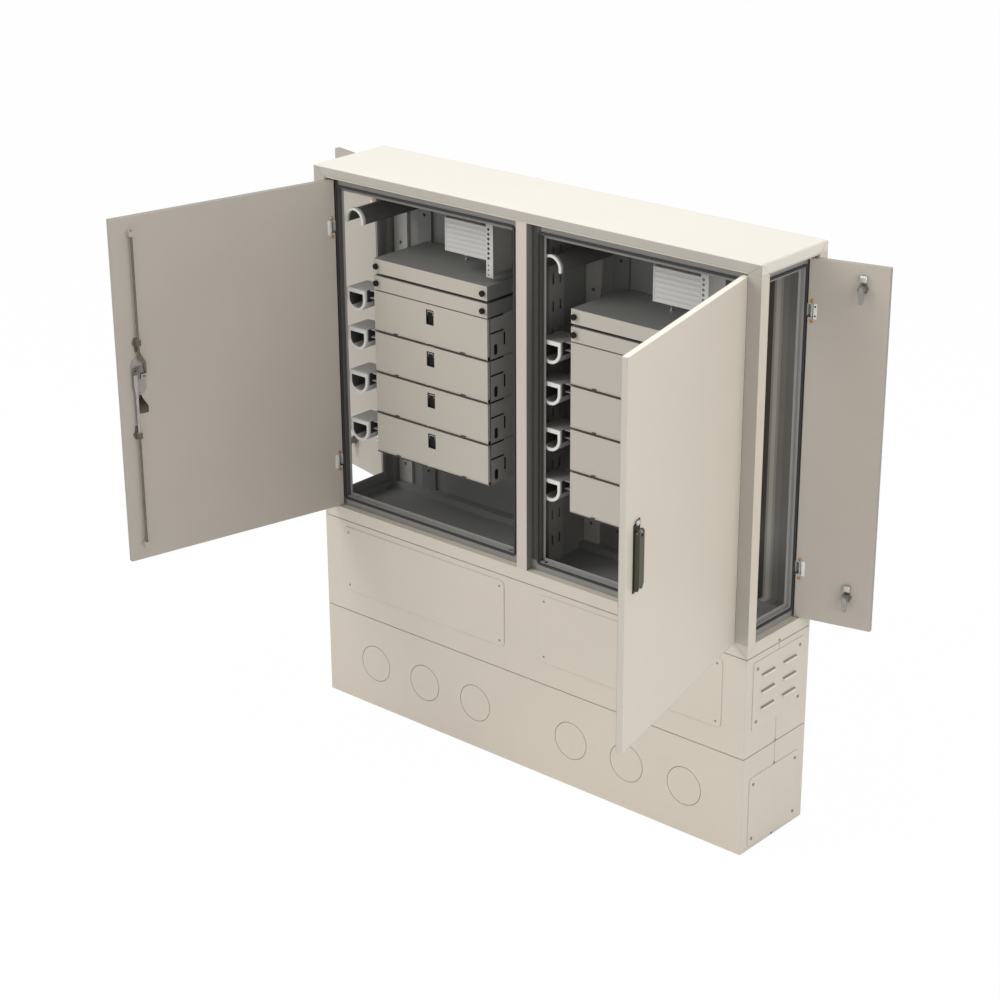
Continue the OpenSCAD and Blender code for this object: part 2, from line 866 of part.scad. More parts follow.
module door_knuckles() {
    reach = bracket_h / 2 + leaf_gap;
    for (z = hinge_z) translate([0, 0, z]) {
        for (s = [-1, 1]) translate([0, 0, s * (reach + door_knuckle_h / 2)]) {
            cylinder(r = knuckle_r, h = door_knuckle_h, center = true);
            translate([-knuckle_r + 1, 0, -door_knuckle_h / 2])
                cube([2 * knuckle_r - 2, door_t / 2 - liner_t / 2, door_knuckle_h]);
            translate([hinge_screw_r - 1.5, door_t / 2, s * 4]) rotate([-90, 0, 0])
                screw_head(hinge_screw_r, 2);
        }
        cylinder(r = pin_r, h = 2 * (reach + 1), center = true);
    }
}

module door_liner(w) {
    difference() {
        translate([-axis_in, door_t / 2 - liner_t, door_z]) cube([w, liner_t, door_h]);
        hinge_notches();
    }
    door_knuckles();
}

// Guide for a lock rod: a diamond foot on the liner and a block with a bore
module rod_guide(z) {
    top = rod_out + rod_r + 2;
    difference() {
        union() {
            translate([0, door_t / 2 + 2, z]) upright(2) rotate(45) square(20, center = true);
            translate([-6, door_t / 2, z - 8]) cube([12, top - door_t / 2, 16]);
        }
        translate([0, rod_out, z - 30]) cylinder(r = rod_r + rod_clear, h = 60);
    }
}

module rod_guides() {
    translate([spindle_x, 0, 0]) for (z = guide_up_z) rod_guide(z);
    translate([spindle_x + low_rod_side, 0, 0]) for (z = guide_low_z) rod_guide(z);
}

// Window behind the lock of the handle
module lock_window() {
    translate([spindle_x, door_t, spindle_z - 125]) upright(door_t)
        polygon([[-14, 0], [6, 0], [6, 56], [-2, 60], [-8, 52]]);
}

module spindle_cut() {
    translate([spindle_x, -door_t, spindle_z]) rotate([-90, 0, 0])
        cylinder(r = spindle_r + 1, h = 2 * door_t);
}

module lock_places() {
    for (z = lock_z) translate([lock_x, 0, z]) children();
}

module barrel_cut() {
    lock_places() translate([0, -door_t, 0]) rotate([-90, 0, 0]) cylinder(r = barrel_r, h = 2 * door_t);
}

module front_skin() {
    difference() {
        door_skin(front_door_w);
        spindle_cut();
    }
}

module front_liner() {
    difference() {
        door_liner(front_door_w);
        spindle_cut();
        lock_window();
    }
    rod_guides();
}

module side_skin() {
    difference() {
        door_skin(side_door_w);
        barrel_cut();
    }
}

module side_liner() {
    difference() {
        door_liner(side_door_w);
        barrel_cut();
    }
}

module left_door_skin() { color("antiquewhite") front_door_place(door_open) front_skin(); }
module left_door_liner() { color("tan") front_door_place(door_open) front_liner(); }
module right_door_skin() {
    color("antiquewhite") mirror([1, 0, 0]) front_door_place(door_open) front_skin();
}
module right_door_liner() { color("tan") mirror([1, 0, 0]) front_door_place(door_open) front_liner(); }
module left_side_door_skin() { color("antiquewhite") side_door_place(door_open) side_skin(); }
module left_side_door_liner() { color("tan") side_door_place(door_open) side_liner(); }
module right_side_door_skin() {
    color("antiquewhite") mirror([1, 0, 0]) side_door_place(door_open) side_skin();
}
module right_side_door_liner() { color("tan") mirror([1, 0, 0]) side_door_place(door_open) side_liner(); }

// Handle, in the front door's frame

module at_spindle() {
    translate([spindle_x, 0, spindle_z]) children();
}

module handle_plate() {
    peak = 30;
    shoulder = peak - 10;
    at_spindle() translate([0, -door_t / 2, 0]) {
        difference() {
            upright(plate_t) polygon([
                [-plate_w / 2, -plate_low], [plate_w / 2, -plate_low],
                [plate_w / 2, shoulder], [-plate_w / 2, peak]
            ]);
            translate([0, 1, 0]) rotate([90, 0, 0]) cylinder(r = spindle_r + pin_clear, h = plate_t + 2);
        }
    }
}

// Spindle with its pivot block outside and its drive disc inside
module handle_spindle() {
    at_spindle() {
        translate([0, plate_y, 0]) rotate([-90, 0, 0]) cylinder(r = spindle_r, h = disc_y - plate_y);
        translate([0, disc_y, 0]) rotate([-90, 0, 0]) cylinder(r = disc_r, h = disc_t);
        for (a = [45, 225])
            translate([crank_r * cos(a), disc_y, crank_r * sin(a)]) rotate([-90, 0, 0])
                cylinder(r = crank_pin_r, h = rod_out + yoke_t / 2 + 1.5 - disc_y);
        translate([-hub_block, lever_y, -hub_block]) cube([2 * hub_block, plate_y - lever_y, 2 * hub_block]);
        translate([-hub_block, lever_y, 0]) rotate([0, 90, 0]) cylinder(r = hub_block, h = 2 * hub_block);
        translate([-lever_w / 2, lever_y, 0]) rotate([0, 90, 0]) cylinder(r = lever_pin_r, h = lever_w);
    }
}

// Lever with a swallow-tail foot, its grip side sloped at the end
module handle_lever() {
    pocket = hub_block + lever_gap;
    notch = 16;
    slope = 16;
    prong = 5;
    lever_half = lever_end - 0.3;
    at_spindle() difference() {
        union() {
            intersection() {
                translate([0, lever_y + lever_t, 0]) upright(2 * lever_t) polygon([
                    [-lever_w / 2, 0], [-lever_w / 2, -lever_l], [-lever_w / 2 + prong, -lever_l],
                    [0, -lever_l + notch], [lever_w / 2 - prong, -lever_l], [lever_w / 2, -lever_l],
                    [lever_w / 2, 0]
                ]);
                translate([-lever_w, lever_y, 0]) across(2 * lever_w)
                    polygon([[-lever_half, 1], [lever_half, 1], [lever_half, -lever_l - 1],
                             [-lever_half + 4, -lever_l - 1], [-lever_half, -lever_l + slope]]);
            }
            translate([-lever_w / 2, lever_y, 0]) rotate([0, 90, 0]) cylinder(r = lever_end, h = lever_w);
        }
        translate([-pocket, lever_y - lever_t, -hub_block - 3]) cube([2 * pocket, 2 * lever_t, 40]);
        translate([-lever_w, lever_y, 0]) rotate([0, 90, 0])
            cylinder(r = lever_pin_r + pin_clear, h = 2 * lever_w);
    }
}

// Slotted plate in which a drive pin moves, side +1 towards the free edge
module yoke(side) {
    low = crank_r * cos(45);
    half_slot = crank_pin_r + yoke_clear;
    z_pin = side * low;
    difference() {
        translate([0, rod_out + yoke_t / 2, 0]) upright(yoke_t)
            polygon([
                [side * (low - half_slot - yoke_rim), z_pin - half_slot - yoke_rim],
                [side * (crank_r + half_slot + yoke_rim), z_pin - half_slot - yoke_rim],
                [side * (crank_r + half_slot + yoke_rim), z_pin + half_slot + yoke_rim],
                [side * (low - half_slot - yoke_rim), z_pin + half_slot + yoke_rim]
            ]);
        translate([0, rod_out + yoke_t, 0]) upright(2 * yoke_t)
            polygon([
                [side * (low - half_slot), z_pin - half_slot],
                [side * (crank_r + half_slot), z_pin - half_slot],
                [side * (crank_r + half_slot), z_pin + half_slot],
                [side * (low - half_slot), z_pin + half_slot]
            ]);
    }
}

module upper_rod() {
    low = crank_r * cos(45);
    edge = crank_r + crank_pin_r + yoke_clear + yoke_rim;
    inner = low - crank_pin_r - yoke_clear;
    at_spindle() {
        yoke(-1);
        translate([0, rod_out + yoke_t / 2, 0]) upright(yoke_t) polygon([
            [-edge, -low], [-edge + yoke_rim, -low], [-inner - 6, 26], [rod_r, 44],
            [rod_r, 62], [-rod_r, 62], [-edge, 30]
        ]);
        translate([0, rod_out, 52]) cylinder(r = rod_r, h = high_tip - spindle_z - 52);
    }
}

module lower_rod() {
    low = crank_r * cos(45);
    edge = crank_r + crank_pin_r + yoke_clear + yoke_rim;
    at_spindle() {
        yoke(1);
        translate([0, rod_out + yoke_t / 2, 0]) upright(yoke_t)
            polygon([[low_rod_side - 4, low - crank_pin_r - yoke_clear],
                     [edge, low - crank_pin_r - yoke_clear],
                     [edge, -strap_wide], [low_rod_side + strap_half, -strap_narrow],
                     [low_rod_side + strap_half, -strap_end], [low_rod_side - strap_half, -strap_end],
                     [low_rod_side - strap_half, -strap_narrow]]);
        translate([low_rod_side, rod_out, low_tip - spindle_z])
            cylinder(r = rod_r, h = spindle_z - low_tip - strap_end + strap_over);
    }
}

module left_handle_plate() { color("silver") front_door_place(door_open) handle_plate(); }
module left_handle_spindle() { color("gray") front_door_place(door_open) handle_spindle(); }
module left_handle_lever() { color("dimgray") front_door_place(door_open) handle_lever(); }
module left_upper_rod() { color("gray") front_door_place(door_open) upper_rod(); }
module left_lower_rod() { color("gray") front_door_place(door_open) lower_rod(); }
module right_handle_plate() { color("silver") mirror([1, 0, 0]) front_door_place(door_open) handle_plate(); }
module right_handle_spindle() {
    color("gray") mirror([1, 0, 0]) front_door_place(door_open) handle_spindle();
}
module right_handle_lever() {
    color("dimgray") mirror([1, 0, 0]) front_door_place(door_open) handle_lever();
}
module right_upper_rod() { color("gray") mirror([1, 0, 0]) front_door_place(door_open) upper_rod(); }
module right_lower_rod() { color("gray") mirror([1, 0, 0]) front_door_place(door_open) lower_rod(); }

// Cam locks, in the side door's frame

module side_barrels() {
    end_y = cam_y - 0.3;
    lock_places() difference() {
        union() {
            translate([0, -door_t / 2 - 2, 0]) rotate([-90, 0, 0]) cylinder(r = barrel_r + 3, h = 2);
            translate([0, -door_t / 2, 0]) rotate([-90, 0, 0])
                cylinder(r = barrel_r, h = end_y + door_t / 2);
            translate([0, door_t / 2, 0]) rotate([-90, 0, 0]) cylinder(r = barrel_r + 4, h = 5, $fn = 6);
        }
        translate([0, -door_t, 0]) rotate([-90, 0, 0]) cylinder(r = plug_r + pin_clear, h = 80);
    }
}

// Plug with its key slot outside and the cam hanging from its inner end
module lock_cam(z) {
    translate([lock_x, 0, z]) {
        difference() {
            translate([0, -door_t / 2 - 1.5, 0]) rotate([-90, 0, 0])
                cylinder(r = plug_r, h = cam_y + cam_t + 3 + door_t / 2 + 1.5);
            translate([-0.8, -door_t / 2 - 2, -3]) cube([1.6, 8, 6]);
        }
        translate([0, cam_y + cam_t, 0]) upright(cam_t) {
            circle(cam_w / 2);
            translate([-cam_w / 2, -cam_l + cam_w / 2]) square([cam_w, cam_l - cam_w / 2]);
            translate([0, -cam_l + cam_w / 2]) circle(cam_w / 2);
        }
    }
}

module side_lock_barrels_left() { color("silver") side_door_place(door_open) side_barrels(); }
module side_lock_barrels_right() {
    color("silver") mirror([1, 0, 0]) side_door_place(door_open) side_barrels();
}
module left_lower_cam() { color("dimgray") side_door_place(door_open) lock_cam(lock_z[0]); }
module left_upper_cam() { color("dimgray") side_door_place(door_open) lock_cam(lock_z[1]); }
module right_lower_cam() {
    color("dimgray") mirror([1, 0, 0]) side_door_place(door_open) lock_cam(lock_z[0]);
}
module right_upper_cam() {
    color("dimgray") mirror([1, 0, 0]) side_door_place(door_open) lock_cam(lock_z[1]);
}

// Equipment

module in_each_rack() {
    for (side = [-1, 1]) translate([rack_x(side), 0, 0]) children();
}

// Mounting rails behind the modules and punched cable strips beside them
module rear_rails() {
    z0 = module_z(module_count - 1);
    z1 = drawer_z[1] + drawer_h;
    color("darkgray") in_each_rack() {
        for (s = [-1, 1]) translate([s * (module_w / 2 - rail_in), 0, 0])
            box(-rail_w / 2, rack_back, z0, rail_w / 2, back_y, z1);
        for (x = strip_x) difference() {
            box(x - strip_w / 2, back_y - strip_depth, open_z, x + strip_w / 2, back_y, open_top);
            box(x - strip_w / 2 + sheet_t, back_y - strip_depth + sheet_t, open_z - 1,
                x + strip_w / 2 - sheet_t, back_y + 1, open_top + 1);
            for (z = [open_z + strip_hole_in : strip_pitch : open_top - strip_hole_in])
                translate([x, back_y, z]) rotate([90, 0, 0]) cylinder(r = strip_hole_r, h = 2 * strip_depth);
        }
    }
}

// Open-fronted box of sheet metal between y0 and y1
module sleeve(w, h, y0, y1) {
    difference() {
        box(-w / 2, y0, 0, w / 2, y1, h);
        box(-w / 2 + module_t, y0 - 1, module_t, w / 2 - module_t, y1 - module_t, h - module_t);
    }
}

module cover_lug() {
    rotate([0, 90, 0]) cylinder(r = lug_r, h = lug_w, center = true);
    translate([-lug_w / 2, 0, -lug_r]) cube([lug_w, chassis_y - cover_axis_y + 1, 2 * lug_r]);
}

module module_box() {
    h = module_pitch - cover_gap;
    difference() {
        union() {
            sleeve(module_w, h, chassis_y, rack_back);
            for (s = [-1, 1]) translate([s * lug_x, cover_axis_y, cover_axis_up]) cover_lug();
        }
        for (s = [-1, 1]) translate([s * lug_x, cover_axis_y, cover_axis_up]) rotate([0, 90, 0])
            cylinder(r = lug_pin_r + pin_clear, h = lug_w + 2, center = true);
        for (s = [-1, 1], y = side_slots)
            translate([s * module_w / 2 - 10, chassis_y + y, h * 0.25]) cube([20, side_slot_d, h * 0.3]);
    }
}

module module_chassis() {
    color("dimgray") in_each_rack() {
        for (k = [0 : module_count - 1]) translate([0, 0, module_z(k)]) module_box();
        for (z = drawer_z)
            translate([0, 0, z]) sleeve(module_w, drawer_h, chassis_y - cover_fold, rack_back);
    }
}

// Panel with a row of adapters inside each module
module adapter_panels() {
    h = module_pitch - cover_gap - 2 * module_t;
    panel_y = chassis_y + panel_set;
    last = adapter_count - 1;
    color("teal") in_each_rack() for (k = [0 : module_count - 1])
        translate([0, 0, module_z(k) + module_t]) {
            box(-module_w / 2 + module_t, panel_y, 0, module_w / 2 - module_t, panel_y + panel_t, h);
            for (i = [0 : last])
                translate([(i - last / 2) * adapter_pitch, panel_y - adapter_size[1] + 1,
                           (h - adapter_size[2]) / 2])
                    cube(adapter_size);
        }
}

// Folded cover with hinge ears at its foot and a latch cup near its top
module cover(side, k) {
    h = module_pitch - cover_gap - cover_short;
    w = module_w;
    ear_w = 4;
    latch_up = h - latch_h - latch_drop;
    translate([rack_x(side), 0, module_z(k)]) {
        difference() {
            union() {
                box(-w / 2, front_y, 0, w / 2, front_y + module_t, h);
                for (s = [-1, 1]) box(min(s * w / 2, s * (w / 2 - module_t)), front_y,
                    fold_foot, max(s * w / 2, s * (w / 2 - module_t)), front_y + cover_fold, h);
                box(-w / 2, front_y, h - module_t, w / 2, front_y + cover_fold, h);
                box(-latch_w / 2 - module_t, front_y, latch_up - module_t,
                    latch_w / 2 + module_t, front_y + latch_deep + module_t, latch_up + latch_h + module_t);
            }
            box(-latch_w / 2, front_y - 1, latch_up,
                latch_w / 2, front_y + latch_deep, latch_up + latch_h);
            for (s = [-1, 1]) translate([s * lug_x - lug_w / 2 - lug_play, front_y - 2, -1])
                cube([lug_w + 2 * lug_play, 10, cover_axis_up + lug_r + 1]);
            translate([-finger_cut[0] / 2, front_y - 1, -1])
                cube([finger_cut[0], finger_cut[1], finger_cut[1]]);
        }
        translate([-latch_w / 2 + latch_bar_in, front_y + 1, latch_up + latch_h - latch_bar_in - latch_bar])
            cube([latch_w - 2 * latch_bar_in, latch_deep, latch_bar]);
        for (s = [-1, 1]) translate([s * lug_x, cover_axis_y, cover_axis_up]) rotate([0, 90, 0]) {
            for (t = [-1, 1]) translate([0, 0, t * (lug_w / 2 + lug_play + ear_w / 2)])
                cylinder(r = lug_r - 0.2, h = ear_w, center = true);
            cylinder(r = lug_pin_r, h = lug_w + ear_w, center = true);
        }
    }
}

module left_cover_1() { color("wheat") cover(-1, 0); }
module left_cover_2() { color("wheat") cover(-1, 1); }
module left_cover_3() { color("wheat") cover(-1, 2); }
module left_cover_4() { color("wheat") cover(-1, 3); }
module right_cover_1() { color("wheat") cover(1, 0); }
module right_cover_2() { color("wheat") cover(1, 1); }
module right_cover_3() { color("wheat") cover(1, 2); }
module right_cover_4() { color("wheat") cover(1, 3); }

// Drawer: front with two knobs and a shallow tray behind it
module drawer(side, row) {
    y0 = front_y;
    y1 = chassis_y - cover_fold;
    tray_w = module_w - 2 * module_t - tray_clear;
    tray_z = module_t + slide_gap;
    tray_h = drawer_h - 2 * module_t - tray_clear;
    y_end = rack_back - module_t - tray_short;
    translate([rack_x(side), 0, drawer_z[row]]) {
        box(-module_w / 2, y0, 0, module_w / 2, y1 - slide_gap, drawer_h);
        difference() {
            box(-tray_w / 2, y0 + 1, tray_z, tray_w / 2, y_end, tray_z + tray_h);
            box(-tray_w / 2 + module_t, y1 + 1, tray_z + module_t,
                tray_w / 2 - module_t, y_end - module_t, tray_z + tray_h + 1);
        }
        for (s = [-1, 1])
            translate([s * (module_w / 2 - knob_in), y0 + 1, drawer_h / 2]) rotate([90, 0, 0]) {
                cylinder(r = knob_r - 2, h = knob_out);
                translate([0, 0, knob_out]) cylinder(r = knob_r, h = knob_out);
            }
    }
}

module left_lower_drawer() { color("wheat") drawer(-1, 0); }
module left_upper_drawer() { color("wheat") drawer(-1, 1); }
module right_lower_drawer() { color("wheat") drawer(1, 0); }
module right_upper_drawer() { color("wheat") drawer(1, 1); }

// Cable guides

// Ring with a flat top and a round foot, standing in the X-Z plane
module ring_shape(w, h) {
    foot = -h + w / 2;
    difference() {
        translate([0, foot]) circle(w / 2);
        translate([-w, foot]) square([2 * w, 2 * w]);
    }
    translate([-w / 2, foot]) square([w, -foot]);
}

module guide_ring() {
    arm_t = 3;
    arm_h = 26;
    crown = 12;
    translate([0, guide_l, 0]) upright(guide_l) difference() {
        ring_shape(guide_w, guide_h);
        translate([0, -crown]) ring_shape(guide_w - 2 * guide_t, guide_h - guide_t - crown);
    }
    arm_y = chassis_y - guide_y + 1;
    arm_end = guide_w / 2 + guide_gap;
    box(guide_w / 2 - 1, arm_y, -arm_t, arm_end, guide_l, 0);
    box(arm_end - arm_t, arm_y, -arm_h, arm_end, guide_l, 0);
    box(guide_w / 2 - 1, arm_y, -arm_h, arm_end, guide_l, -arm_h + arm_t);
}

// Length of an arch with a wall t thick, open downwards, its foot at z 0
module arch_part(w, h, t, y0, y1) {
    translate([0, y1, 0]) upright(y1 - y0) difference() {
        mirror([0, 1]) ring_shape(w, h);
        mirror([0, 1]) translate([0, 1]) ring_shape(w - 2 * t, h - t + 1);
    }
}

// Arched guide, open downwards, whose tunnel runs back to the rear strips
module guide_arch() {
    arch_h = 48;
    tunnel_t = 3;
    tunnel_w = guide_w - 2 * tunnel_t;
    tunnel_end = back_y - strip_depth - guide_y;
    arch_part(guide_w, arch_h, guide_t - 1, 0, guide_lip);
    arch_part(tunnel_w, arch_h - tunnel_t, tunnel_t, guide_lip, tunnel_end);
}

module cable_guides() {
    color("white") in_each_rack() translate([-guide_x, guide_y, 0]) {
        for (drop = guide_drops) translate([0, 0, stack_top - drop + guide_h / 2]) guide_ring();
        translate([0, 0, stack_top + arch_up]) guide_arch();
    }
}

// Splitters

module splitter_place() {
    in_each_rack() translate([splitter_x, splitter_y, stack_top + splitter_up]) children();
}

module splitter_cassettes() {
    color("white") splitter_place() for (k = [0 : cassette_count - 1])
        translate([0, 0, k * cassette_pitch]) difference() {
            box(-cassette_w / 2, 0, 0, cassette_w / 2, cassette_d, cassette_pitch - cassette_gap);
            box(-cassette_w / 2 + label_wall, -1, label_foot,
                cassette_w / 2 - label_wall, 1, cassette_pitch - cassette_gap - label_foot);
        }
}

// Hanger that carries the cassettes from the roof rails, with a port for each cassette
module splitter_holders() {
    up = roof_z + rim_h - sheet_t - stack_top - splitter_up;
    x0 = -cassette_w / 2 - hanger_gap;
    x1 = cassette_w / 2 + hanger_gap;
    color("whitesmoke") splitter_place() difference() {
        union() {
            box(x0 - hanger_t, hanger_set, -hanger_t - hanger_gap, x0, cassette_d, up);
            box(x0 - hanger_t, hanger_set, -hanger_t - hanger_gap, x1 + hanger_t, cassette_d, -hanger_gap);
            box(x1, 0, -hanger_drop, x1 + hanger_t, cassette_d, up);
            box(x1, 0, -hanger_drop, x1 + holder_flange, hanger_t, up);
        }
        for (k = [0 : cassette_count - 1])
            translate([x1 + port_in, -1, (k + 0.5) * cassette_pitch]) rotate([-90, 0, 0])
                cylinder(r = port_r, h = 2 * hanger_t);
        for (k = [1 : hanger_holes]) translate([x1 + port_in, -1, -k * hanger_pitch])
            rotate([-90, 0, 0]) cylinder(r = hanger_hole_r, h = 2 * hanger_t);
    }
}

plinth_front_shell();
plinth_rear_shell();
plinth_side_plates();
duct_plugs();
pedestal_front_shell();
pedestal_rear_shell();
pedestal_cover_plates();
pedestal_vent_plates();
plate_screws();
corner_posts();
frame_rails();
centre_partition();
roof_cap();
rear_panel();
cabinet_floor();
door_seats();
door_gaskets();
hinge_brackets();
rear_rails();
module_chassis();
adapter_panels();
cable_guides();
splitter_cassettes();
splitter_holders();
left_door_skin();
left_door_liner();
right_door_skin();
right_door_liner();
left_side_door_skin();
left_side_door_liner();
right_side_door_skin();
right_side_door_liner();
left_handle_plate();
left_handle_spindle();
left_handle_lever();
left_upper_rod();
left_lower_rod();
right_handle_plate();
right_handle_spindle();
right_handle_lever();
right_upper_rod();
right_lower_rod();
side_lock_barrels_left();
side_lock_barrels_right();
left_lower_cam();
left_upper_cam();
right_lower_cam();
right_upper_cam();
left_cover_1();
left_cover_2();
left_cover_3();
left_cover_4();
right_cover_1();
right_cover_2();
right_cover_3();
right_cover_4();
left_lower_drawer();
left_upper_drawer();
right_lower_drawer();
right_upper_drawer();
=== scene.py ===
import json
import math

import bmesh
import bpy
from mathutils import Matrix, Vector


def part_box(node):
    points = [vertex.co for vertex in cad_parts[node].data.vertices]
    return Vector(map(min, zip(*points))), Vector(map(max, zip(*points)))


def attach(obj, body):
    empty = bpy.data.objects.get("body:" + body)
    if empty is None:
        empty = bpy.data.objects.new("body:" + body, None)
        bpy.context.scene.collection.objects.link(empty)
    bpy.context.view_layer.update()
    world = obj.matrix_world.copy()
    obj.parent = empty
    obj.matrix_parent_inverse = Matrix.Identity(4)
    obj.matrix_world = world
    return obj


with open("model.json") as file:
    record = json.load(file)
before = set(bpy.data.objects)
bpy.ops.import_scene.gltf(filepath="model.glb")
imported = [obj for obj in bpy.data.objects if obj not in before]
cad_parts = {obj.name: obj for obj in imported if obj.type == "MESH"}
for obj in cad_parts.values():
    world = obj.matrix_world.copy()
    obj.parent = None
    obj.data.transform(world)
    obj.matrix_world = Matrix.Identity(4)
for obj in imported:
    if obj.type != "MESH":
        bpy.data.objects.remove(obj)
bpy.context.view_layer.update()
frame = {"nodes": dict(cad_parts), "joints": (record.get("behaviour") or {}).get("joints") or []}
nodes = frame["nodes"]
joints = {joint["name"]: joint for joint in frame["joints"]}
mm = 0.001
print("cabinet loaded:", len(nodes), "nodes")


# shader nodes as plain expressions

class Wire:
    def __init__(self, shader, socket):
        self.shader = shader
        self.socket = socket

    def maths(self, operation, first, second):
        return self.shader.add("ShaderNodeMath", {"operation": operation}, {0: first, 1: second})

    def __add__(self, other): return self.maths("ADD", self, other)
    def __radd__(self, other): return self.maths("ADD", other, self)
    def __sub__(self, other): return self.maths("SUBTRACT", self, other)
    def __rsub__(self, other): return self.maths("SUBTRACT", other, self)
    def __mul__(self, other): return self.maths("MULTIPLY", self, other)
    def __rmul__(self, other): return self.maths("MULTIPLY", other, self)
    def __gt__(self, other): return self.maths("GREATER_THAN", self, other)
    def __lt__(self, other): return self.maths("LESS_THAN", self, other)
    def larger(self, other): return self.maths("MAXIMUM", self, other)


class Shader:
    def __init__(self, tree):
        self.tree = tree

    # any node: its type, its settings, and the values or wires of its sockets
    def add(self, kind, settings=None, values=None, out=0):
        node = self.tree.nodes.new(kind)
        for name, setting in (settings or {}).items():
            setattr(node, name, setting)
        for key, given in (values or {}).items():
            self.feed(node.inputs[key], given)
        return Wire(self, node.outputs[out])

    def feed(self, socket, given):
        if isinstance(given, Wire):
            self.tree.links.new(given.socket, socket)
        elif isinstance(given, tuple) and socket.type == "RGBA":
            socket.default_value = (*given, 1)
        else:
            socket.default_value = given

    # 1 where the camera looks straight at, into or through a surface, 0 for its light
    def seen(self):
        rays = self.add("ShaderNodeLightPath").socket.node.outputs
        straight, mirrored, through = (Wire(self, rays[name]) for name in
                                       ("Is Camera Ray", "Is Glossy Ray", "Is Transmission Ray"))
        return straight.larger(mirrored).larger(through)


class Finish(Shader):
    def __init__(self, name):
        self.material = bpy.data.materials.new(name)
        self.material.use_nodes = True
        super().__init__(self.material.node_tree)
        self.surface = self.tree.nodes["Principled BSDF"]

    def set(self, **given):
        for name, value in given.items():
            self.feed(self.surface.inputs[name.replace("_", " ")], value)
        return self.material

    # place on the part at rest, in metres
    def place(self):
        return self.add("ShaderNodeTexCoord", out=3)

    def axes(self):
        split = self.add("ShaderNodeSeparateXYZ", None, {0: self.place()})
        return [Wire(self, split.socket.node.outputs[index]) for index in range(3)]

    def noise(self, scale, detail, roughness=0.55, stretch=(1, 1, 1)):
        spread = self.add("ShaderNodeVectorMath", {"operation": "MULTIPLY"}, {0: self.place(), 1: stretch})
        return self.add("ShaderNodeTexNoise", None,
                        {"Vector": spread, "Scale": scale, "Detail": detail, "Roughness": roughness})

    # 0 below a range and 1 above it, with a soft step between
    def soften(self, wire, low, high):
        return self.add("ShaderNodeMapRange", {"interpolation_type": "SMOOTHSTEP"}, {0: wire, 1: low, 2: high})

    def tint(self, mask, first, second, kind="MIX"):
        return self.add("ShaderNodeMix", {"data_type": "RGBA", "blend_type": kind},
                        {0: mask, 6: first, 7: second}, out=2)

    def darken(self, mask, colour, level):
        return self.tint(mask, colour, (level, level, level), "MULTIPLY")

    # rounded-looking edges, with the grain of the finish on top
    def grain(self, height, strength, depth, edge):
        rounded = self.add("ShaderNodeBevel", {"samples": 4}, {"Radius": edge})
        return self.add("ShaderNodeBump", None,
                        {"Strength": strength, "Distance": depth, "Height": height, "Normal": rounded})

    # 1 inside a box of the part and 0 outside; None leaves a side of the box open
    def within(self, low, high):
        inside = None
        for axis, start, end in zip(self.axes(), low, high):
            tests = [axis > start] if start is not None else []
            tests += [axis < end] if end is not None else []
            for test in tests:
                inside = test if inside is None else inside * test
        return inside

    # zones: boxes of the part that take another tone, the later ones over the earlier
    def zoned(self, base, zones):
        for low, high, tone in zones:
            base = self.tint(self.within(low, high), base, tone)
        return base


# powder coat: fine orange peel, faint cloudiness, a touch of rain dust

coat = {
    "peelScale": 520.0,
    "peelDepth": 0.00006,
    "peelStrength": 0.10,
    "cloudScale": 3.2,
    "cloudBand": (0.35, 0.65),
    "cloudShare": 0.6,
    "cloudDarken": 0.965,
    "cloudRough": 0.05,
    "dustScale": 38.0,
    "dustBand": (0.55, 0.80),
    "dustShare": 0.10,
    "dustDarken": 0.80,
    "dustRough": 0.06,
    "edgeRadius": 0.0014,
    "roughness": 0.42,
    "plasticRoughness": 0.45,
}


def powderCoat(name, colour, zones=(), roughness=coat["roughness"]):
    finish = Finish(name)
    cloud = finish.soften(finish.noise(coat["cloudScale"], 4), *coat["cloudBand"])
    dust = finish.soften(finish.noise(coat["dustScale"], 5, 0.6), *coat["dustBand"])
    base = finish.zoned(colour, zones)
    base = finish.darken((1 - cloud) * coat["cloudShare"], base, coat["cloudDarken"])
    base = finish.darken(dust * coat["dustShare"], base, coat["dustDarken"])
    peel = finish.noise(coat["peelScale"], 2, 0.5)
    rough = roughness + coat["cloudRough"] * cloud + coat["dustRough"] * dust
    normal = finish.grain(peel, coat["peelStrength"], coat["peelDepth"], coat["edgeRadius"])
    return finish.set(Base_Color=base, Roughness=rough, Normal=normal)


# zones of tone, each with its boxes on the part in metres

def zone(tone, *boxes):
    return [(low, high, tone) for low, high in boxes]


cabinetTone = (0.610, 0.552, 0.465)
innerTone = (0.235, 0.235, 0.226)
shadedTone = (0.440, 0.410, 0.365)
seamShadowTone = (0.300, 0.268, 0.222)

anywhere = (None, None, None)
hoodFaceX = 0.8073
hoodHeights = (0.433, 0.484, 0.535)
ringPlaces = [(x, z) for x in (-0.6865, 0.0705) for z in (1.354, 1.231, 1.092, 0.937)]

# the strips of the rear seen through the right side opening: where they start along x, where each ends,
# and its tone; painted shadow in the first, a painted highlight across the folded flange in the next three,
# painted shade on the rest
sideStart = 0.565
sideStrips = [
    (0.645, (0.070, 0.062, 0.050)),
    (0.652, (0.360, 0.340, 0.300)),
    (0.666, (0.560, 0.535, 0.470)),
    (0.674, (0.390, 0.370, 0.325)),
    (0.693, (0.250, 0.238, 0.205)),
    (0.779, (0.205, 0.195, 0.172)),
]

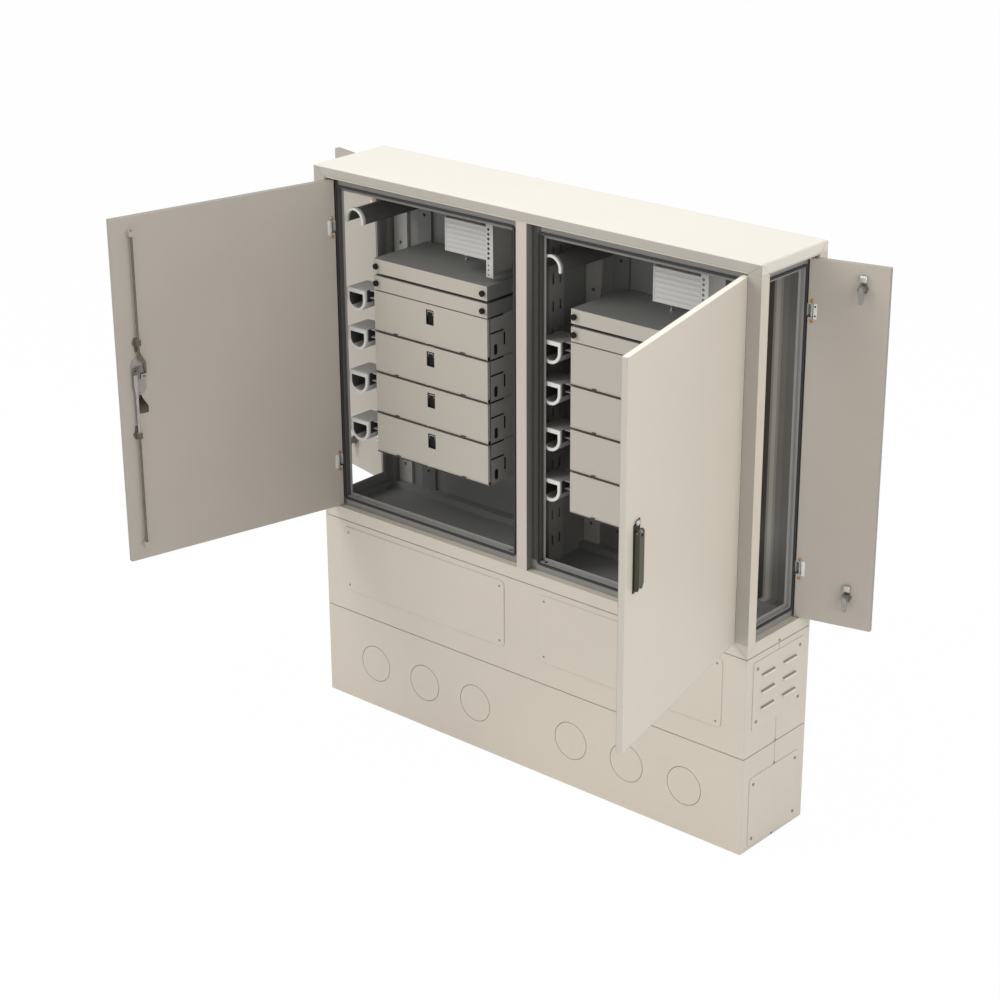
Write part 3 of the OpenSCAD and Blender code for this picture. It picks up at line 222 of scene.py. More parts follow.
zoneSet = {
    "inside": zone((0.245, 0.247, 0.236), ((-0.779, -0.125, 0.612), (0.779, 0.1470, 1.6965))),
    # painted shade: the frame's front faces and the roof's fascia take the shaded tone
    "frontFaceShade": zone(shadedTone, ((None, None, 0.6495), (None, -0.1493, None))),
    "fasciaShade": zone(shadedTone, (anywhere, (None, -0.1493, 1.7225))),
    # painted shade on the mullion: a little on its front face, deep on its side facing the right bay
    "mullionFaceShade": zone((0.560, 0.505, 0.452), ((-0.020, None, 0.650), (0.020, -0.1493, 1.6915))),
    "mullionSideShade": zone((0.190, 0.190, 0.172), ((0.0185, -0.1493, 0.650), (0.020, -0.110, 1.6915))),
    "cableRail": zone((0.300, 0.295, 0.280), ((0.0075, -0.042, 0.640), (0.030, 0.032, 1.700))),
    "lightStrips": zone((0.520, 0.505, 0.475), *[((x - 0.032, None, None), (x + 0.032, None, None))
                                                for x in (-0.7295, 0.0275)]),
    "seatShade": zone((0.080, 0.075, 0.067), *[((x, -0.135, 0.680), (x + 0.035, -0.090, 1.700))
                                               for x in (-0.763, 0.018)]),
    # painted shade on the top of each louvre hood, and a painted highlight on its foot
    "hoodTopShade": zone((0.250, 0.230, 0.195), *[((hoodFaceX, None, z + 0.0045), (None, None, z + 0.0100))
                                              for z in hoodHeights]),
    "hoodFootHighlight": zone((0.760, 0.710, 0.620), *[((hoodFaceX, None, z - 0.0005), (None, None, z + 0.0045))
                                              for z in hoodHeights]),
    # painted shadow in the seams of the base and in the gaps round the duct plugs
    "seams": zone(seamShadowTone, *[((None, None, low), (None, None, low + 0.003)) for low in (0.300, 0.607)],
                  ((None, 0.0008, None), (None, 0.0032, None))),
    "plugGapShadows": zone(seamShadowTone, ((None, -0.1488, None), anywhere)),
    # painted shadow on the chassis's front edges
    "chassisEdgeShadows": zone((0.030, 0.028, 0.026), (anywhere, (None, -0.0870, 1.3650))),
    # painted light on the right sides of the modules, lighter than the rest of the chassis; a darker band runs
    # across the right one
    "moduleSideLight": zone((0.380, 0.370, 0.345), ((-0.1716, -0.0865, None), (-0.1700, None, 1.3650))),
    "outerSideLight": zone((0.480, 0.470, 0.440), ((0.5845, -0.0870, None), anywhere)),
    "outerBands": zone((0.330, 0.320, 0.300), ((0.5845, 0.045, None), (None, 0.110, None))),
    # the guides' front rims keep the white of the plastic; painted shade on the left bay's rims, in the gaps
    # between the guides and the modules, in the ring hollows and over the top tunnel
    "guideRim": zone((0.74, 0.73, 0.70), (anywhere, (None, -0.1035, None))),
    "leftRimShade": zone((0.50, 0.49, 0.465), ((None, -0.1035, None), (0, None, None))),
    "guideGapShadows": zone((0.028, 0.027, 0.026), *[((x - 0.001, -0.099, None), (x + 0.001, -0.066, 1.40))
                                               for x in (-0.649, 0.108)]),
    "ringHollowShade": zone((0.062, 0.060, 0.057),
                        *[((x - 0.0288, -0.107, z - 0.0525), (x + 0.0288, None, z - 0.0090))
                          for x, z in ringPlaces]),
    "tunnelShade": zone((0.085, 0.085, 0.083), ((None, -0.097, 1.53), anywhere)),
    "sideBands": [],
}
for end, tone in sideStrips:
    zoneSet["sideBands"] += zone(tone, ((sideStart, 0.120, 0.640), (end, 0.1470, 1.6965)))
    sideStart = end

coats = {
    "cabinetPaint": (cabinetTone, ()),
    # liner and module paints: darker copies of the cabinet cream, painted shade on the door liners, the covers
    # and the drawers
    "linerPaint": ((0.455, 0.412, 0.360), ()),
    "modulePaint": ((0.500, 0.458, 0.400), ()),
    "innerGrey": (innerTone, ()),
    "framePaint": (cabinetTone, ("frontFaceShade", "inside", "sideBands")),
    "partitionPaint": (cabinetTone, ("mullionFaceShade", "inside", "mullionSideShade", "cableRail")),
    # the roof's cream is lighter than the body's: painted light on the roof's top
    "roofPaint": ((0.700, 0.670, 0.600), ("fasciaShade",)),
    "stripPaint": ((0.190, 0.190, 0.184), ("lightStrips",)),
    "seatPaint": ((0.270, 0.265, 0.252), ("seatShade",)),
    "ventPaint": (cabinetTone, ("hoodTopShade", "hoodFootHighlight")),
    "basePaint": (cabinetTone, ("seams",)),
    "plugPaint": (cabinetTone, ("plugGapShadows",)),
    "chassisPaint": (innerTone, ("chassisEdgeShadows", "moduleSideLight", "outerSideLight", "outerBands")),
    # guide plastic: a mid grey, painted shade over the guides' white
    "guidePlastic": ((0.300, 0.292, 0.276), ("guideRim", "leftRimShade", "guideGapShadows", "ringHollowShade", "tunnelShade")),
    "cassettePlastic": ((0.560, 0.550, 0.525), ()),
}
materials = {}
for name, (colour, zoneNames) in coats.items():
    rough = coat["plasticRoughness"] if name.endswith("Plastic") else coat["roughness"]
    materials[name] = powderCoat(name, colour, [row for named in zoneNames for row in zoneSet[named]], rough)


# a door pan's thin edges: how far each reaches, and the tones of the free, the top and the bottom one: painted
# shade on the edges, with a painted highlight on the right door's top edge

panReach = {"free": 0.0045, "top": 0.0012, "bottom": 0.0030}
panEdges = {
    "left_door_skin": ((0.300, 0.275, 0.240), (0.270, 0.250, 0.220), (0.140, 0.128, 0.110)),
    "right_door_skin": ((0.560, 0.515, 0.450), (0.800, 0.760, 0.680), (0.560, 0.515, 0.450)),
    "left_side_door_skin": ((0.300, 0.275, 0.240), (0.270, 0.250, 0.220), (0.140, 0.128, 0.110)),
    "right_side_door_skin": ((0.270, 0.250, 0.220), (0.330, 0.305, 0.270), (0.140, 0.128, 0.110)),
}


def panPaint(node, free, top, bottom):
    low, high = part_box(node)
    if "side" not in node:
        freeEdge = (anywhere, (None, low[1] + panReach["free"], None))
    elif high[0] > 0:
        freeEdge = ((high[0] - panReach["free"], None, None), anywhere)
    else:
        freeEdge = (anywhere, (low[0] + panReach["free"], None, None))
    bottomEdge = (anywhere, (None, None, low[2] + panReach["bottom"]))
    topEdge = ((None, None, high[2] - panReach["top"]), anywhere)
    return powderCoat(f"{node}_paint", cabinetTone,
                      zone(free, freeEdge) + zone(bottom, bottomEdge) + zone(top, topEdge))


for node, tones in panEdges.items():
    materials[node] = panPaint(node, *tones)


# plated metal: brushed or plain, with faint blotches

metal = {
    "brushScale": 900.0,
    "brushStretch": (0.04, 1.0, 1.0),
    "brushDepth": 0.00004,
    "brushStrength": 0.12,
    "brushRough": 0.05,
    "blotchScale": 60.0,
    "blotchBand": (0.35, 0.7),
    "blotchShare": 0.8,
    "blotchDarken": 0.86,
    "blotchRough": 0.12,
    "edgeRadius": 0.0006,
}


def plated(name, colour, roughness, stretch=metal["brushStretch"], zones=()):
    finish = Finish(name)
    lines = finish.noise(metal["brushScale"], 2, 0.6, stretch)
    blotch = finish.soften(finish.noise(metal["blotchScale"], 4), *metal["blotchBand"])
    base = finish.darken(blotch * metal["blotchShare"], finish.zoned(colour, zones), metal["blotchDarken"])
    rough = roughness + metal["blotchRough"] * blotch + metal["brushRough"] * lines
    normal = finish.grain(lines, metal["brushStrength"], metal["brushDepth"], metal["edgeRadius"])
    return finish.set(Base_Color=base, Metallic=1.0, Roughness=rough, Normal=normal)


# moulded plastic and rubber: fine speckle, and a slow change of tone

mould = {
    "speckScale": 700.0,
    "speckDepth": 0.00005,
    "toneScale": 22.0,
    "toneBand": (0.35, 0.7),
    "toneDarken": 0.93,
    "toneRough": 0.07,
    "edgeRadius": 0.0008,
}


# warm: two heights in metres between which the tone fades from a warmer one
def moulded(name, colour, roughness, bump=0.12, gloss=0.5, warm=None):
    finish = Finish(name)
    speck = finish.noise(mould["speckScale"], 2, 0.5)
    tone = finish.soften(finish.noise(mould["toneScale"], 3), *mould["toneBand"])
    base = finish.tint(tone, tuple(channel * mould["toneDarken"] for channel in colour), colour)
    if warm:
        low, high, warmer = warm
        base = finish.tint(finish.soften(finish.axes()[2], low, high), warmer, base)
    normal = finish.grain(speck, bump, mould["speckDepth"], mould["edgeRadius"])
    return finish.set(Base_Color=base, Roughness=roughness + mould["toneRough"] * tone,
                      Specular_IOR_Level=gloss, Normal=normal)


rodHead = zone((0.480, 0.450, 0.440), ((None, None, 1.050), (None, None, 1.225)))
cupWarmth = (1.106, 1.140, (0.095, 0.074, 0.048))
materials.update({
    "brightSteel": plated("brightSteel", (0.60, 0.59, 0.57), 0.34),
    "darkSteel": plated("darkSteel", (0.26, 0.25, 0.24), 0.40),
    "rodSteel": plated("rodSteel", (0.190, 0.170, 0.142), 0.50, zones=rodHead),
    "camSteel": plated("camSteel", (0.380, 0.365, 0.345), 0.42),
    "copperScrew": plated("copperScrew", (0.62, 0.30, 0.12), 0.30, (1, 1, 1)),
    "sealRubber": moulded("sealRubber", (0.030, 0.030, 0.030), 0.72, 0.3),
    "whitePlastic": moulded("whitePlastic", (0.74, 0.73, 0.70), 0.38),
    "darkPlastic": moulded("darkPlastic", (0.010, 0.010, 0.010), 0.60, gloss=0.2),
    "cupBlack": moulded("cupBlack", (0.014, 0.012, 0.008), 0.55, gloss=0.25, warm=cupWarmth),
    "handleBronze": moulded("handleBronze", (0.022, 0.021, 0.016), 0.50, gloss=0.3),
    "leverBronze": moulded("leverBronze", (0.072, 0.068, 0.047), 0.48, gloss=0.3),
    "casePaint": moulded("casePaint", (0.345, 0.320, 0.297), 0.45),
    "clipBrown": moulded("clipBrown", (0.120, 0.102, 0.078), 0.55),
    "gapShadowBrown": moulded("gapShadowBrown", (0.066, 0.058, 0.049), 0.70, gloss=0.2),
    "screwGrey": moulded("screwGrey", (0.270, 0.245, 0.215), 0.45),
    "adapterPlastic": moulded("adapterPlastic", (0.035, 0.045, 0.055), 0.40),
})

dressing = {
    "roofPaint": ["roof_cap"],
    "innerGrey": ["cabinet_floor"],
    "chassisPaint": ["module_chassis"],
    "framePaint": ["corner_posts", "frame_rails", "rear_panel"],
    "partitionPaint": ["centre_partition"],
    "basePaint": ["pedestal_front_shell", "pedestal_rear_shell", "plinth_front_shell", "plinth_rear_shell"],
    "plugPaint": ["duct_plugs"],
    "stripPaint": ["rear_rails"],
    "seatPaint": ["door_seats"],
    "ventPaint": ["pedestal_vent_plates"],
    "sealRubber": ["door_gaskets"],
    "brightSteel": ["hinge_brackets"],
    "screwGrey": ["plate_screws"],
    "darkSteel": ["side_lock_barrels_left", "side_lock_barrels_right"],
    "guidePlastic": ["cable_guides"],
    "cassettePlastic": ["splitter_cassettes", "splitter_holders"],
    "adapterPlastic": ["adapter_panels"],
    "handleBronze": ["left_handle_plate", "right_handle_plate"],
    "leverBronze": ["left_handle_lever", "right_handle_lever"],
}
finishOf = {node: finish for finish, dressed in dressing.items() for node in dressed}
finishOf.update({node: node for node in panEdges})
finishByEnding = {
    "_liner": "linerPaint",
    "_drawer": "modulePaint",
    "_rod": "rodSteel",
    "_cam": "camSteel",
    "_spindle": "darkSteel",
}


def finishFor(node):
    if node in finishOf:
        return finishOf[node]
    if node.startswith(("left_cover_", "right_cover_")):
        return "modulePaint"
    for ending, finish in finishByEnding.items():
        if node.endswith(ending):
            return finish
    return "cabinetPaint"


for node, shown in nodes.items():
    shown.data.materials.clear()
    shown.data.materials.append(materials[finishFor(node)])
print("finishes on")


# forms: small shapes worked up in bmesh, in millimetres, and placed in the part's metres

# sides between closed rings of vertices, with a cap on each end
def skinForm(form, rings):
    for lower, upper in zip(rings, rings[1:]):
        for here in range(len(lower)):
            after = (here + 1) % len(lower)
            form.faces.new((lower[here], lower[after], upper[after], upper[here]))
    form.faces.new(list(reversed(rings[0])))
    form.faces.new(rings[-1])


# profile: radius and height of each ring; waves: which rings swell, how often, and by what share
def turnedForm(form, profile, stand, steps, waves=((), 0, 0)):
    waved, count, depth = waves
    rings = []
    for index, (radius, height) in enumerate(profile):
        ring = []
        for step in range(steps):
            angle = 2 * math.pi * step / steps
            swell = 1 + depth * math.cos(count * angle) if index in waved else 1
            spot = Vector((radius * swell * math.cos(angle), radius * swell * math.sin(angle), height))
            ring.append(form.verts.new(stand @ spot))
        rings.append(ring)
    skinForm(form, rings)


def blockForm(form, low, high, soft, segments=2):
    made = bmesh.ops.create_cube(form, size=1)["verts"]
    for vert in made:
        vert.co = Vector(low[axis] + (vert.co[axis] + 0.5) * (high[axis] - low[axis]) for axis in range(3))
    edges = list({edge for vert in made for edge in vert.link_edges})
    bmesh.ops.bevel(form, geom=edges, offset=soft, segments=segments, profile=0.5, affect="EDGES")


# an outline in x and z raised from one y to another, with a soft rim on the raised side
def plateForm(form, outline, low, high, stand=Matrix(), soft=0.0):
    base = [form.verts.new((x, low, z)) for x, z in outline]
    top = [form.verts.new((x, high, z)) for x, z in outline]
    count = len(outline)
    form.faces.new(base)
    form.faces.new(list(reversed(top)))
    for here in range(count):
        after = (here + 1) % count
        form.faces.new((base[after], base[here], top[here], top[after]))
    if soft:
        rim = [form.edges.get((top[here], top[(here + 1) % count])) for here in range(count)]
        made = bmesh.ops.bevel(form, geom=rim, offset=soft, segments=2, profile=0.5, affect="EDGES")
        top = [vert for vert in top if vert.is_valid] + made["verts"]
    for vert in set(base + top):
        vert.co = stand @ vert.co


def roundedOutline(width, height, radius, steps, centre):
    outline = []
    for corner, (across, upwards) in enumerate(((1, 1), (-1, 1), (-1, -1), (1, -1))):
        for step in range(steps + 1):
            angle = math.radians(90 * (corner + step / steps))
            outline.append((centre[0] + across * (width / 2 - radius) + radius * math.cos(angle),
                            centre[1] + upwards * (height / 2 - radius) + radius * math.sin(angle)))
    return outline


inMetres = Matrix.Scale(mm, 4)
creaseAngle = math.radians(35)


def makePiece(name, form, finish, body, stand=Matrix()):
    form.transform(stand @ inMetres)
    bmesh.ops.recalc_face_normals(form, faces=form.faces)
    mesh = bpy.data.meshes.new(name)
    form.to_mesh(mesh)
    form.free()
    piece = bpy.data.objects.new(name, mesh)
    bpy.context.scene.collection.objects.link(piece)
    mesh.materials.append(materials[finish])
    mesh.shade_smooth()
    mesh.set_sharp_from_angle(angle=creaseAngle)
    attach(piece, body)


sides = ("left", "right")
doorFace = 9.0


def boxOf(node):
    low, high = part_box(node)
    return low / mm, high / mm


# a closed door's own frame, turned open: x from hinge to free edge, y to the inside, z up;
# the inner face of every door is at doorFace
def doorStand(side, kind):
    hinge = joints[f"{side}_{kind}_hinge"]
    opened = -hinge["range_deg"][0]
    pivot = Vector(hinge["pos_m"])
    pivot.z = 0
    if side == "right":
        pivot.x = -pivot.x
    turn = math.radians(-opened if kind == "door" else -90 - opened)
    stand = Matrix.Translation(pivot) @ Matrix.Rotation(turn, 4, "Z")
    return stand if side == "left" else Matrix.Scale(-1, 4, (1, 0, 0)) @ stand


# local +Z of a turned form pointing along the frame's +Y, and along its -Y
towardsInside = Matrix.Rotation(math.radians(-90), 4, "X")
towardsOutside = Matrix.Rotation(math.radians(90), 4, "X")


def lay(x, y, z, turn=Matrix()):
    return Matrix.Translation((x, y, z)) @ turn


# a pan head with a six-lobed recess, standing inwards on a door
def screwForm(form, radius, height, x, y, z, steps=24):
    socket = radius * 0.42
    profile = [(radius, 0), (radius, height * 0.35), (radius * 0.93, height * 0.7),
               (radius * 0.72, height * 0.95), (socket * 1.15, height), (socket, height),
               (socket * 0.9, height * 0.35)]
    turnedForm(form, profile, lay(x, y, z, towardsInside), steps, ((5, 6), 6, 0.12))


# hinges: copper-coloured screws above and below each knuckle, and a light leaf beside it

hingeSet = {
    "heights": (799.0, 1542.0),
    "screw": (5.6, 3.0),
    "screwX": 2.5,
    "screwOffset": 27.3,
    "screwSteps": 36,
    "leafX": (6.8, 17.0),
    "leafHalf": 22.0,
    "leafThick": 0.8,
    "leafSoft": 0.3,
    "leafScrew": (2.6, 0.12),
    "leafScrewOffset": 13.0,
}


def hingeParts():
    size = hingeSet
    near, far = size["leafX"]
    leafFace = doorFace + size["leafThick"]
    for side in sides:
        for kind in ("door", "side_door"):
            door, stand = f"{side}_{kind}", doorStand(side, kind)
            form = bmesh.new()
            for height in size["heights"]:
                for up in (-1, 1):
                    screwForm(form, *size["screw"], size["screwX"], doorFace,
                              height + up * size["screwOffset"], size["screwSteps"])
            makePiece(f"{door}_hinge_screws", form, "copperScrew", door, stand)

            form = bmesh.new()
            for height in size["heights"]:
                blockForm(form, (near, doorFace, height - size["leafHalf"]),
                          (far, leafFace, height + size["leafHalf"]), size["leafSoft"])
                for up in (-1, 1):
                    screwForm(form, *size["leafScrew"], (near + far) / 2, leafFace,
                              height + up * size["leafScrewOffset"])
            makePiece(f"{door}_hinge_leaves", form, "whitePlastic", door, stand)


hingeParts()
print("hinge parts made")


# drawer knobs: black, with fine grip flutes

knobSet = {
    "profile": [(8.448, 3.4), (8.8, 4.2), (8.8, 9.6), (7.92, 10.6), (5.28, 10.8), (4.4, 10.1)],
    "flutes": ((0, 1, 2), 20, 0.025),
    "steps": 120,
    "inset": 14.0,
    "faceDepth": 9.0,
}


def drawerKnobs():
    size = knobSet
    for side in sides:
        for row in ("lower", "upper"):
            node = f"{side}_{row}_drawer"
            low, high = boxOf(node)
            form = bmesh.new()
            for x in (low[0] + size["inset"], high[0] - size["inset"]):
                spot = lay(x, low[1] + size["faceDepth"], (low[2] + high[2]) / 2, towardsOutside)
                turnedForm(form, size["profile"], spot, size["steps"], size["flutes"])
            makePiece(f"{node}_knobs", form, "darkPlastic", f"{node}_box")


drawerKnobs()
print("drawer knobs made")


# cover latches: a black rim, slide and grip ribs in the pocket of each cover

latchSet = {
    "width": 29.0,
    "height": 45.2,
    "fromTop": 39.1,
    "faceDepth": 2.05,
    "rim": 2.4,
    "rimFront": 0.15,
    "rimBack": 5.6,
    "floor": 4.8,
    "corners": (1.5, 1.0),
    "cornerSteps": 3,
    "slide": {"half": 10.0, "front": 0.4, "back": 5.0, "bottom": 4.0, "top": 17.0, "soft": 0.7},
    "ribs": {"half": 8.0, "front": -0.2, "back": 0.6, "places": (7.0, 10.4, 13.8), "tall": 1.2, "soft": 0.3},
}
covers = [(side, number) for side in sides for number in range(1, 5)]


def coverLatches():
    size = latchSet
    slide, ribs = size["slide"], size["ribs"]
    outerRadius, innerRadius = size["corners"]
    for side, number in covers:
        node = f"{side}_cover_{number}"
        low, high = boxOf(node)
        face = low[1] + size["faceDepth"]
        x, z = centre = ((low[0] + high[0]) / 2, high[2] - size["fromTop"])
        outer = roundedOutline(size["width"], size["height"], outerRadius, size["cornerSteps"], centre)
        inner = roundedOutline(size["width"] - 2 * size["rim"], size["height"] - 2 * size["rim"],
                               innerRadius, size["cornerSteps"], centre)
        form = bmesh.new()
        skinForm(form, [[form.verts.new((across, face + depth, up)) for across, up in line] for line, depth in
                        ((outer, size["rimBack"]), (outer, size["rimFront"]),
                         (inner, size["rimFront"]), (inner, size["floor"]))])
        blockForm(form, (x - slide["half"], face + slide["front"], z + slide["bottom"]),
                  (x + slide["half"], face + slide["back"], z + slide["top"]), slide["soft"])
        for up in ribs["places"]:
            blockForm(form, (x - ribs["half"], face + ribs["front"], z + up),
                      (x + ribs["half"], face + ribs["back"], z + up + ribs["tall"]), ribs["soft"])
        makePiece(f"{node}_latch", form, "darkPlastic", f"{side}_module_cover_{number}")


coverLatches()


# cover edges: a dark strip as painted shadow in the gap under each cover, with its two stop lugs and the finger
# cut

gapShadowSet = {
    "margin": 1.0,
    "height": 3.2,
    "lugHeight": 7.0,
    "lugSlope": 0.006,
    "halves": (((0.0, 0.465), (0.17, 0.205)), ((0.515, 1.0), (0.765, 0.80))),
    "proud": 0.25,
    "sunk": 0.3,
}


def coverGapShadows():
    size = gapShadowSet
    low, tall, slope = size["height"], size["lugHeight"], size["lugSlope"]
    for side, number in covers:
        node = f"{side}_cover_{number}"
        corner, far = boxOf(node)
        start, span = corner[0] + size["margin"], far[0] - corner[0] - 2 * size["margin"]
        form = bmesh.new()
        for (first, last), (lugFirst, lugLast) in size["halves"]:
            outline = [(first, 0), (last, 0), (last, low), (lugLast, low), (lugLast - slope, tall),
                       (lugFirst + slope, tall), (lugFirst, low), (first, low)]
            plateForm(form, [(start + span * share, corner[2] + z) for share, z in outline],
                      corner[1] - size["proud"], corner[1] + size["sunk"])
        makePiece(f"{node}_strip", form, "gapShadowBrown", f"{side}_module_cover_{number}")


coverGapShadows()
print("cover latches and strips made")


# module sides: a dark oval catch with its button and two dark joints on every module's right side;
# each plate as y and height of its centre, width and height

catchSet = {
    "faces": (-171.0, 586.0),
    "bottoms": (849.95, 979.15, 1108.35, 1237.55),
    "oval": (-64.0, 27.0, 14.0, 33.0),
    "ovalRadius": 6.9,
    "ovalSteps": 8,
    "button": (-64.0, 27.0, 7.0, 19.8),
    "buttonRadius": 3.4,
    "buttonSteps": 6,
    "joints": ((-58.0, 79.0, 56.0, 5.0), (-58.0, 126.5, 56.0, 5.0)),
    "jointRadius": 1.2,
    "jointSteps": 3,
    "thick": 0.5,
    "sunk": 0.2,
    "buttonSunk": 0.1,
    "soft": 0.2,
}


def sideCatches():
    size = catchSet
    thick = size["thick"]
    for side, face in zip(sides, size["faces"]):
        form = bmesh.new()
        for bottom in size["bottoms"]:
            stand = lay(face, 0, bottom, Matrix.Rotation(math.radians(90), 4, "Z"))
            y, up, width, height = size["oval"]
            plateForm(form, roundedOutline(width, height, size["ovalRadius"], size["ovalSteps"], (y, up)),
                      -thick, size["sunk"], stand, size["soft"])
            y, up, width, height = size["button"]
            plateForm(form, roundedOutline(width, height, size["buttonRadius"], size["buttonSteps"], (y, up)),
                      -2 * thick, size["buttonSunk"] - thick, stand, size["soft"])
            for y, up, width, height in size["joints"]:
                plateForm(form, roundedOutline(width, height, size["jointRadius"], size["jointSteps"], (y, up)),
                          -thick, size["sunk"], stand)
        makePiece(f"{side}_module_catches", form, "darkPlastic", "cabinet")


sideCatches()
print("module catches made")


# side door locks: an oval plate with two screws behind each lock, and the housing over it

ovalSet = {
    "lockX": 143.0,
    "heights": (744.0, 1625.0),
    "width": 34.0,
    "height": 52.0,
    "radius": 16.9,
    "steps": 10,
    "thick": 1.6,
    "soft": 0.5,
    "screw": (2.8, 1.4),
    "screwOffset": 20.5,
    "housingHalf": 10.0,
    "housingHeights": (15.5, 34.0),
    "housingDeep": 12.0,
    "housingSoft": 3.0,
}


def sideLocks():
    size = ovalSet
    x, plateFace = size["lockX"], doorFace + size["thick"]
    bottom, top = size["housingHeights"]
    for side in sides:
        stand = doorStand(side, "side_door")
        form = bmesh.new()
        for height in size["heights"]:
            outline = roundedOutline(size["width"], size["height"], size["radius"], size["steps"], (x, height))
            plateForm(form, outline, doorFace, plateFace, soft=size["soft"])
            for up in (-1, 1):
                screwForm(form, *size["screw"], x, plateFace, height + up * size["screwOffset"])
        makePiece(f"{side}_side_lock_plates", form, "linerPaint", f"{side}_side_door", stand)

        form = bmesh.new()
        for height in size["heights"]:
            blockForm(form, (x - size["housingHalf"], plateFace, height + bottom),
                      (x + size["housingHalf"], doorFace + size["housingDeep"], height + top),
                      size["housingSoft"], 3)
        makePiece(f"{side}_side_lock_housings", form, "brightSteel", f"{side}_side_door", stand)


sideLocks()
print("side locks made")


# front door locks: a case and a strap behind the drive disc, clips over the rod guides,
# a dark cup in the window, a cap over the handle

rodLockSet = {
    "spindle": (669.0, 1228.0),
    "case": {"width": 46.0, "height": 112.0, "radius": 22.0, "steps": 10, "below": 12.0, "thick": 2.2},
    "caseScrew": (4.2, 1.6),
    "caseScrewInset": 9.0,
    "caseScrewSteps": 30,
    "strap": {"width": 9.0, "height": 124.0, "radius": 3.0, "steps": 4, "thick": 3.0},
    "strapCentre": (683.5, 1114.0),
    "soft": 0.8,
    "guides": ((0.0, 1320.0, 1), (14.0, 1040.0, -1)),
    "clip": [(-15, -1), (-8, 5), (-5, 13), (9, 12), (15, -3), (9, -12), (7, -30), (1, -30), (-4, -12)],
    "clipOut": 2.05,
    "clipThick": 1.2,
    "clipSoft": 0.4,
    "cover": {"half": 6.7, "out": 18.4, "tall": 8.5, "wall": 0.6, "soft": 0.25},
    "cup": [(644, 1103), (674, 1103), (674, 1144), (661, 1149), (644, 1122)],
    "cupSteps": [(0, 0), (0, 3.0), (0.10, 3.0), (0.26, 0.6), (0.30, 0.6)],
    "capX": (-11.0, 9.0),
    "capY": (-17.5, -12.0),
    "capZ": (18.5, 29.0),
    "capSoft": 1.6,
}


def lockCase(side, stand):
    size = rodLockSet
    case = size["case"]
    x, z = size["spindle"]
    z -= case["below"]
    form = bmesh.new()
    for plate, centre in ((case, (x, z)), (size["strap"], size["strapCentre"])):
        outline = roundedOutline(plate["width"], plate["height"], plate["radius"], plate["steps"], centre)
        plateForm(form, outline, doorFace, doorFace + plate["thick"], soft=size["soft"])
    for up in (-1, 1):
        screwForm(form, *size["caseScrew"], x, doorFace + case["thick"],
                  z + up * (case["height"] / 2 - size["caseScrewInset"]), size["caseScrewSteps"])
    makePiece(f"{side}_lock_case", form, "casePaint", f"{side}_door", stand)


def rodClips(side, stand):
    size = rodLockSet
    cover, low = size["cover"], size["clipOut"]
    half, out, tall, wall = cover["half"], cover["out"], cover["tall"], cover["wall"]
    walls = ((-half, wall - half, low), (half - wall, half, low), (-half, half, out - wall))
    form = bmesh.new()
    for across, height, up in size["guides"]:
        x = size["spindle"][0] + across
        outline = [(x + right, height + up * above) for right, above in size["clip"]]
        plateForm(form, outline[::up], doorFace + low, doorFace + low + size["clipThick"],
                  soft=size["clipSoft"])
        for left, right, near in walls:
            blockForm(form, (x + left, doorFace + near, height - tall),
                      (x + right, doorFace + out, height + tall), cover["soft"])
    makePiece(f"{side}_rod_clips", form, "clipBrown", f"{side}_door", stand)


# the cup's outline shrinks towards its middle from step to step
def lockCup(side, stand):
    corners = rodLockSet["cup"]
    middleX, middleZ = (sum(corner[axis] for corner in corners) / len(corners) for axis in (0, 1))
    form = bmesh.new()
    skinForm(form, [[form.verts.new((x + (middleX - x) * shrink, doorFace + depth, z + (middleZ - z) * shrink))
                     for x, z in corners] for shrink, depth in rodLockSet["cupSteps"]])
    makePiece(f"{side}_lock_cup", form, "cupBlack", f"{side}_door", stand)


def handleCap(side, stand):
    size = rodLockSet
    x, z = size["spindle"]
    form = bmesh.new()
    low, high = zip(size["capX"], size["capY"], size["capZ"])
    blockForm(form, (x + low[0], low[1], z + low[2]), (x + high[0], high[1], z + high[2]), size["capSoft"])
    makePiece(f"{side}_handle_cap", form, "brightSteel", f"{side}_door", stand)


for side in sides:
    for make in (lockCase, rodClips, lockCup, handleCap):
        make(side, doorStand(side, "door"))
print("front locks made")


# small latch knobs standing on the drawer housings

stackKnobSet = {
    "places": ((-394.5, 64.0), (362.5, 64.0)),
    "profile": [(5.0, 0), (5.0, 5), (2.6, 6), (2.6, 11), (6.4, 12), (7.0, 14), (6.6, 18), (4.5, 20),
                (2.0, 20.6)],
    "steps": 40,
}


def stackKnobs():
    low, high = boxOf("module_chassis")
    for side, (x, y) in zip(sides, stackKnobSet["places"]):
        form = bmesh.new()
        turnedForm(form, stackKnobSet["profile"], lay(x, y, high[2]), stackKnobSet["steps"])
        makePiece(f"{side}_stack_knob", form, "brightSteel", "cabinet")


stackKnobs()
print("stack knobs made")


# camera: where the photograph was taken from

view = {
    "place": (4.0961, -4.9416, 3.4578),
    "azimuth": 41.09,
    "elevation": 22.34,
    "roll": -0.326,
    "lens": 85.16,
    "sensor": 36,
    "far": 100,
}


def setCamera():
    camera = bpy.data.objects.new("camera", bpy.data.cameras.new("camera"))
    bpy.context.scene.collection.objects.link(camera)
    turn, rise, roll = (math.radians(view[name]) for name in ("azimuth", "elevation", "roll"))
    back = Vector((math.sin(turn) * math.cos(rise), -math.cos(turn) * math.cos(rise), math.sin(rise)))
    right = Vector((math.cos(turn), math.sin(turn), 0))
    up = back.cross(right)
    across = math.cos(roll) * right + math.sin(roll) * up
    upright = math.cos(roll) * up - math.sin(roll) * right
    stand = Matrix((across, upright, back)).transposed().to_4x4()
    stand.translation = view["place"]
    camera.matrix_world = stand
    camera.data.sensor_width = view["sensor"]
    camera.data.lens = view["lens"]
    camera.data.clip_end = view["far"]
    bpy.context.scene.camera = camera


setCamera()


# studio: pale floor, soft lamps, white surroundings

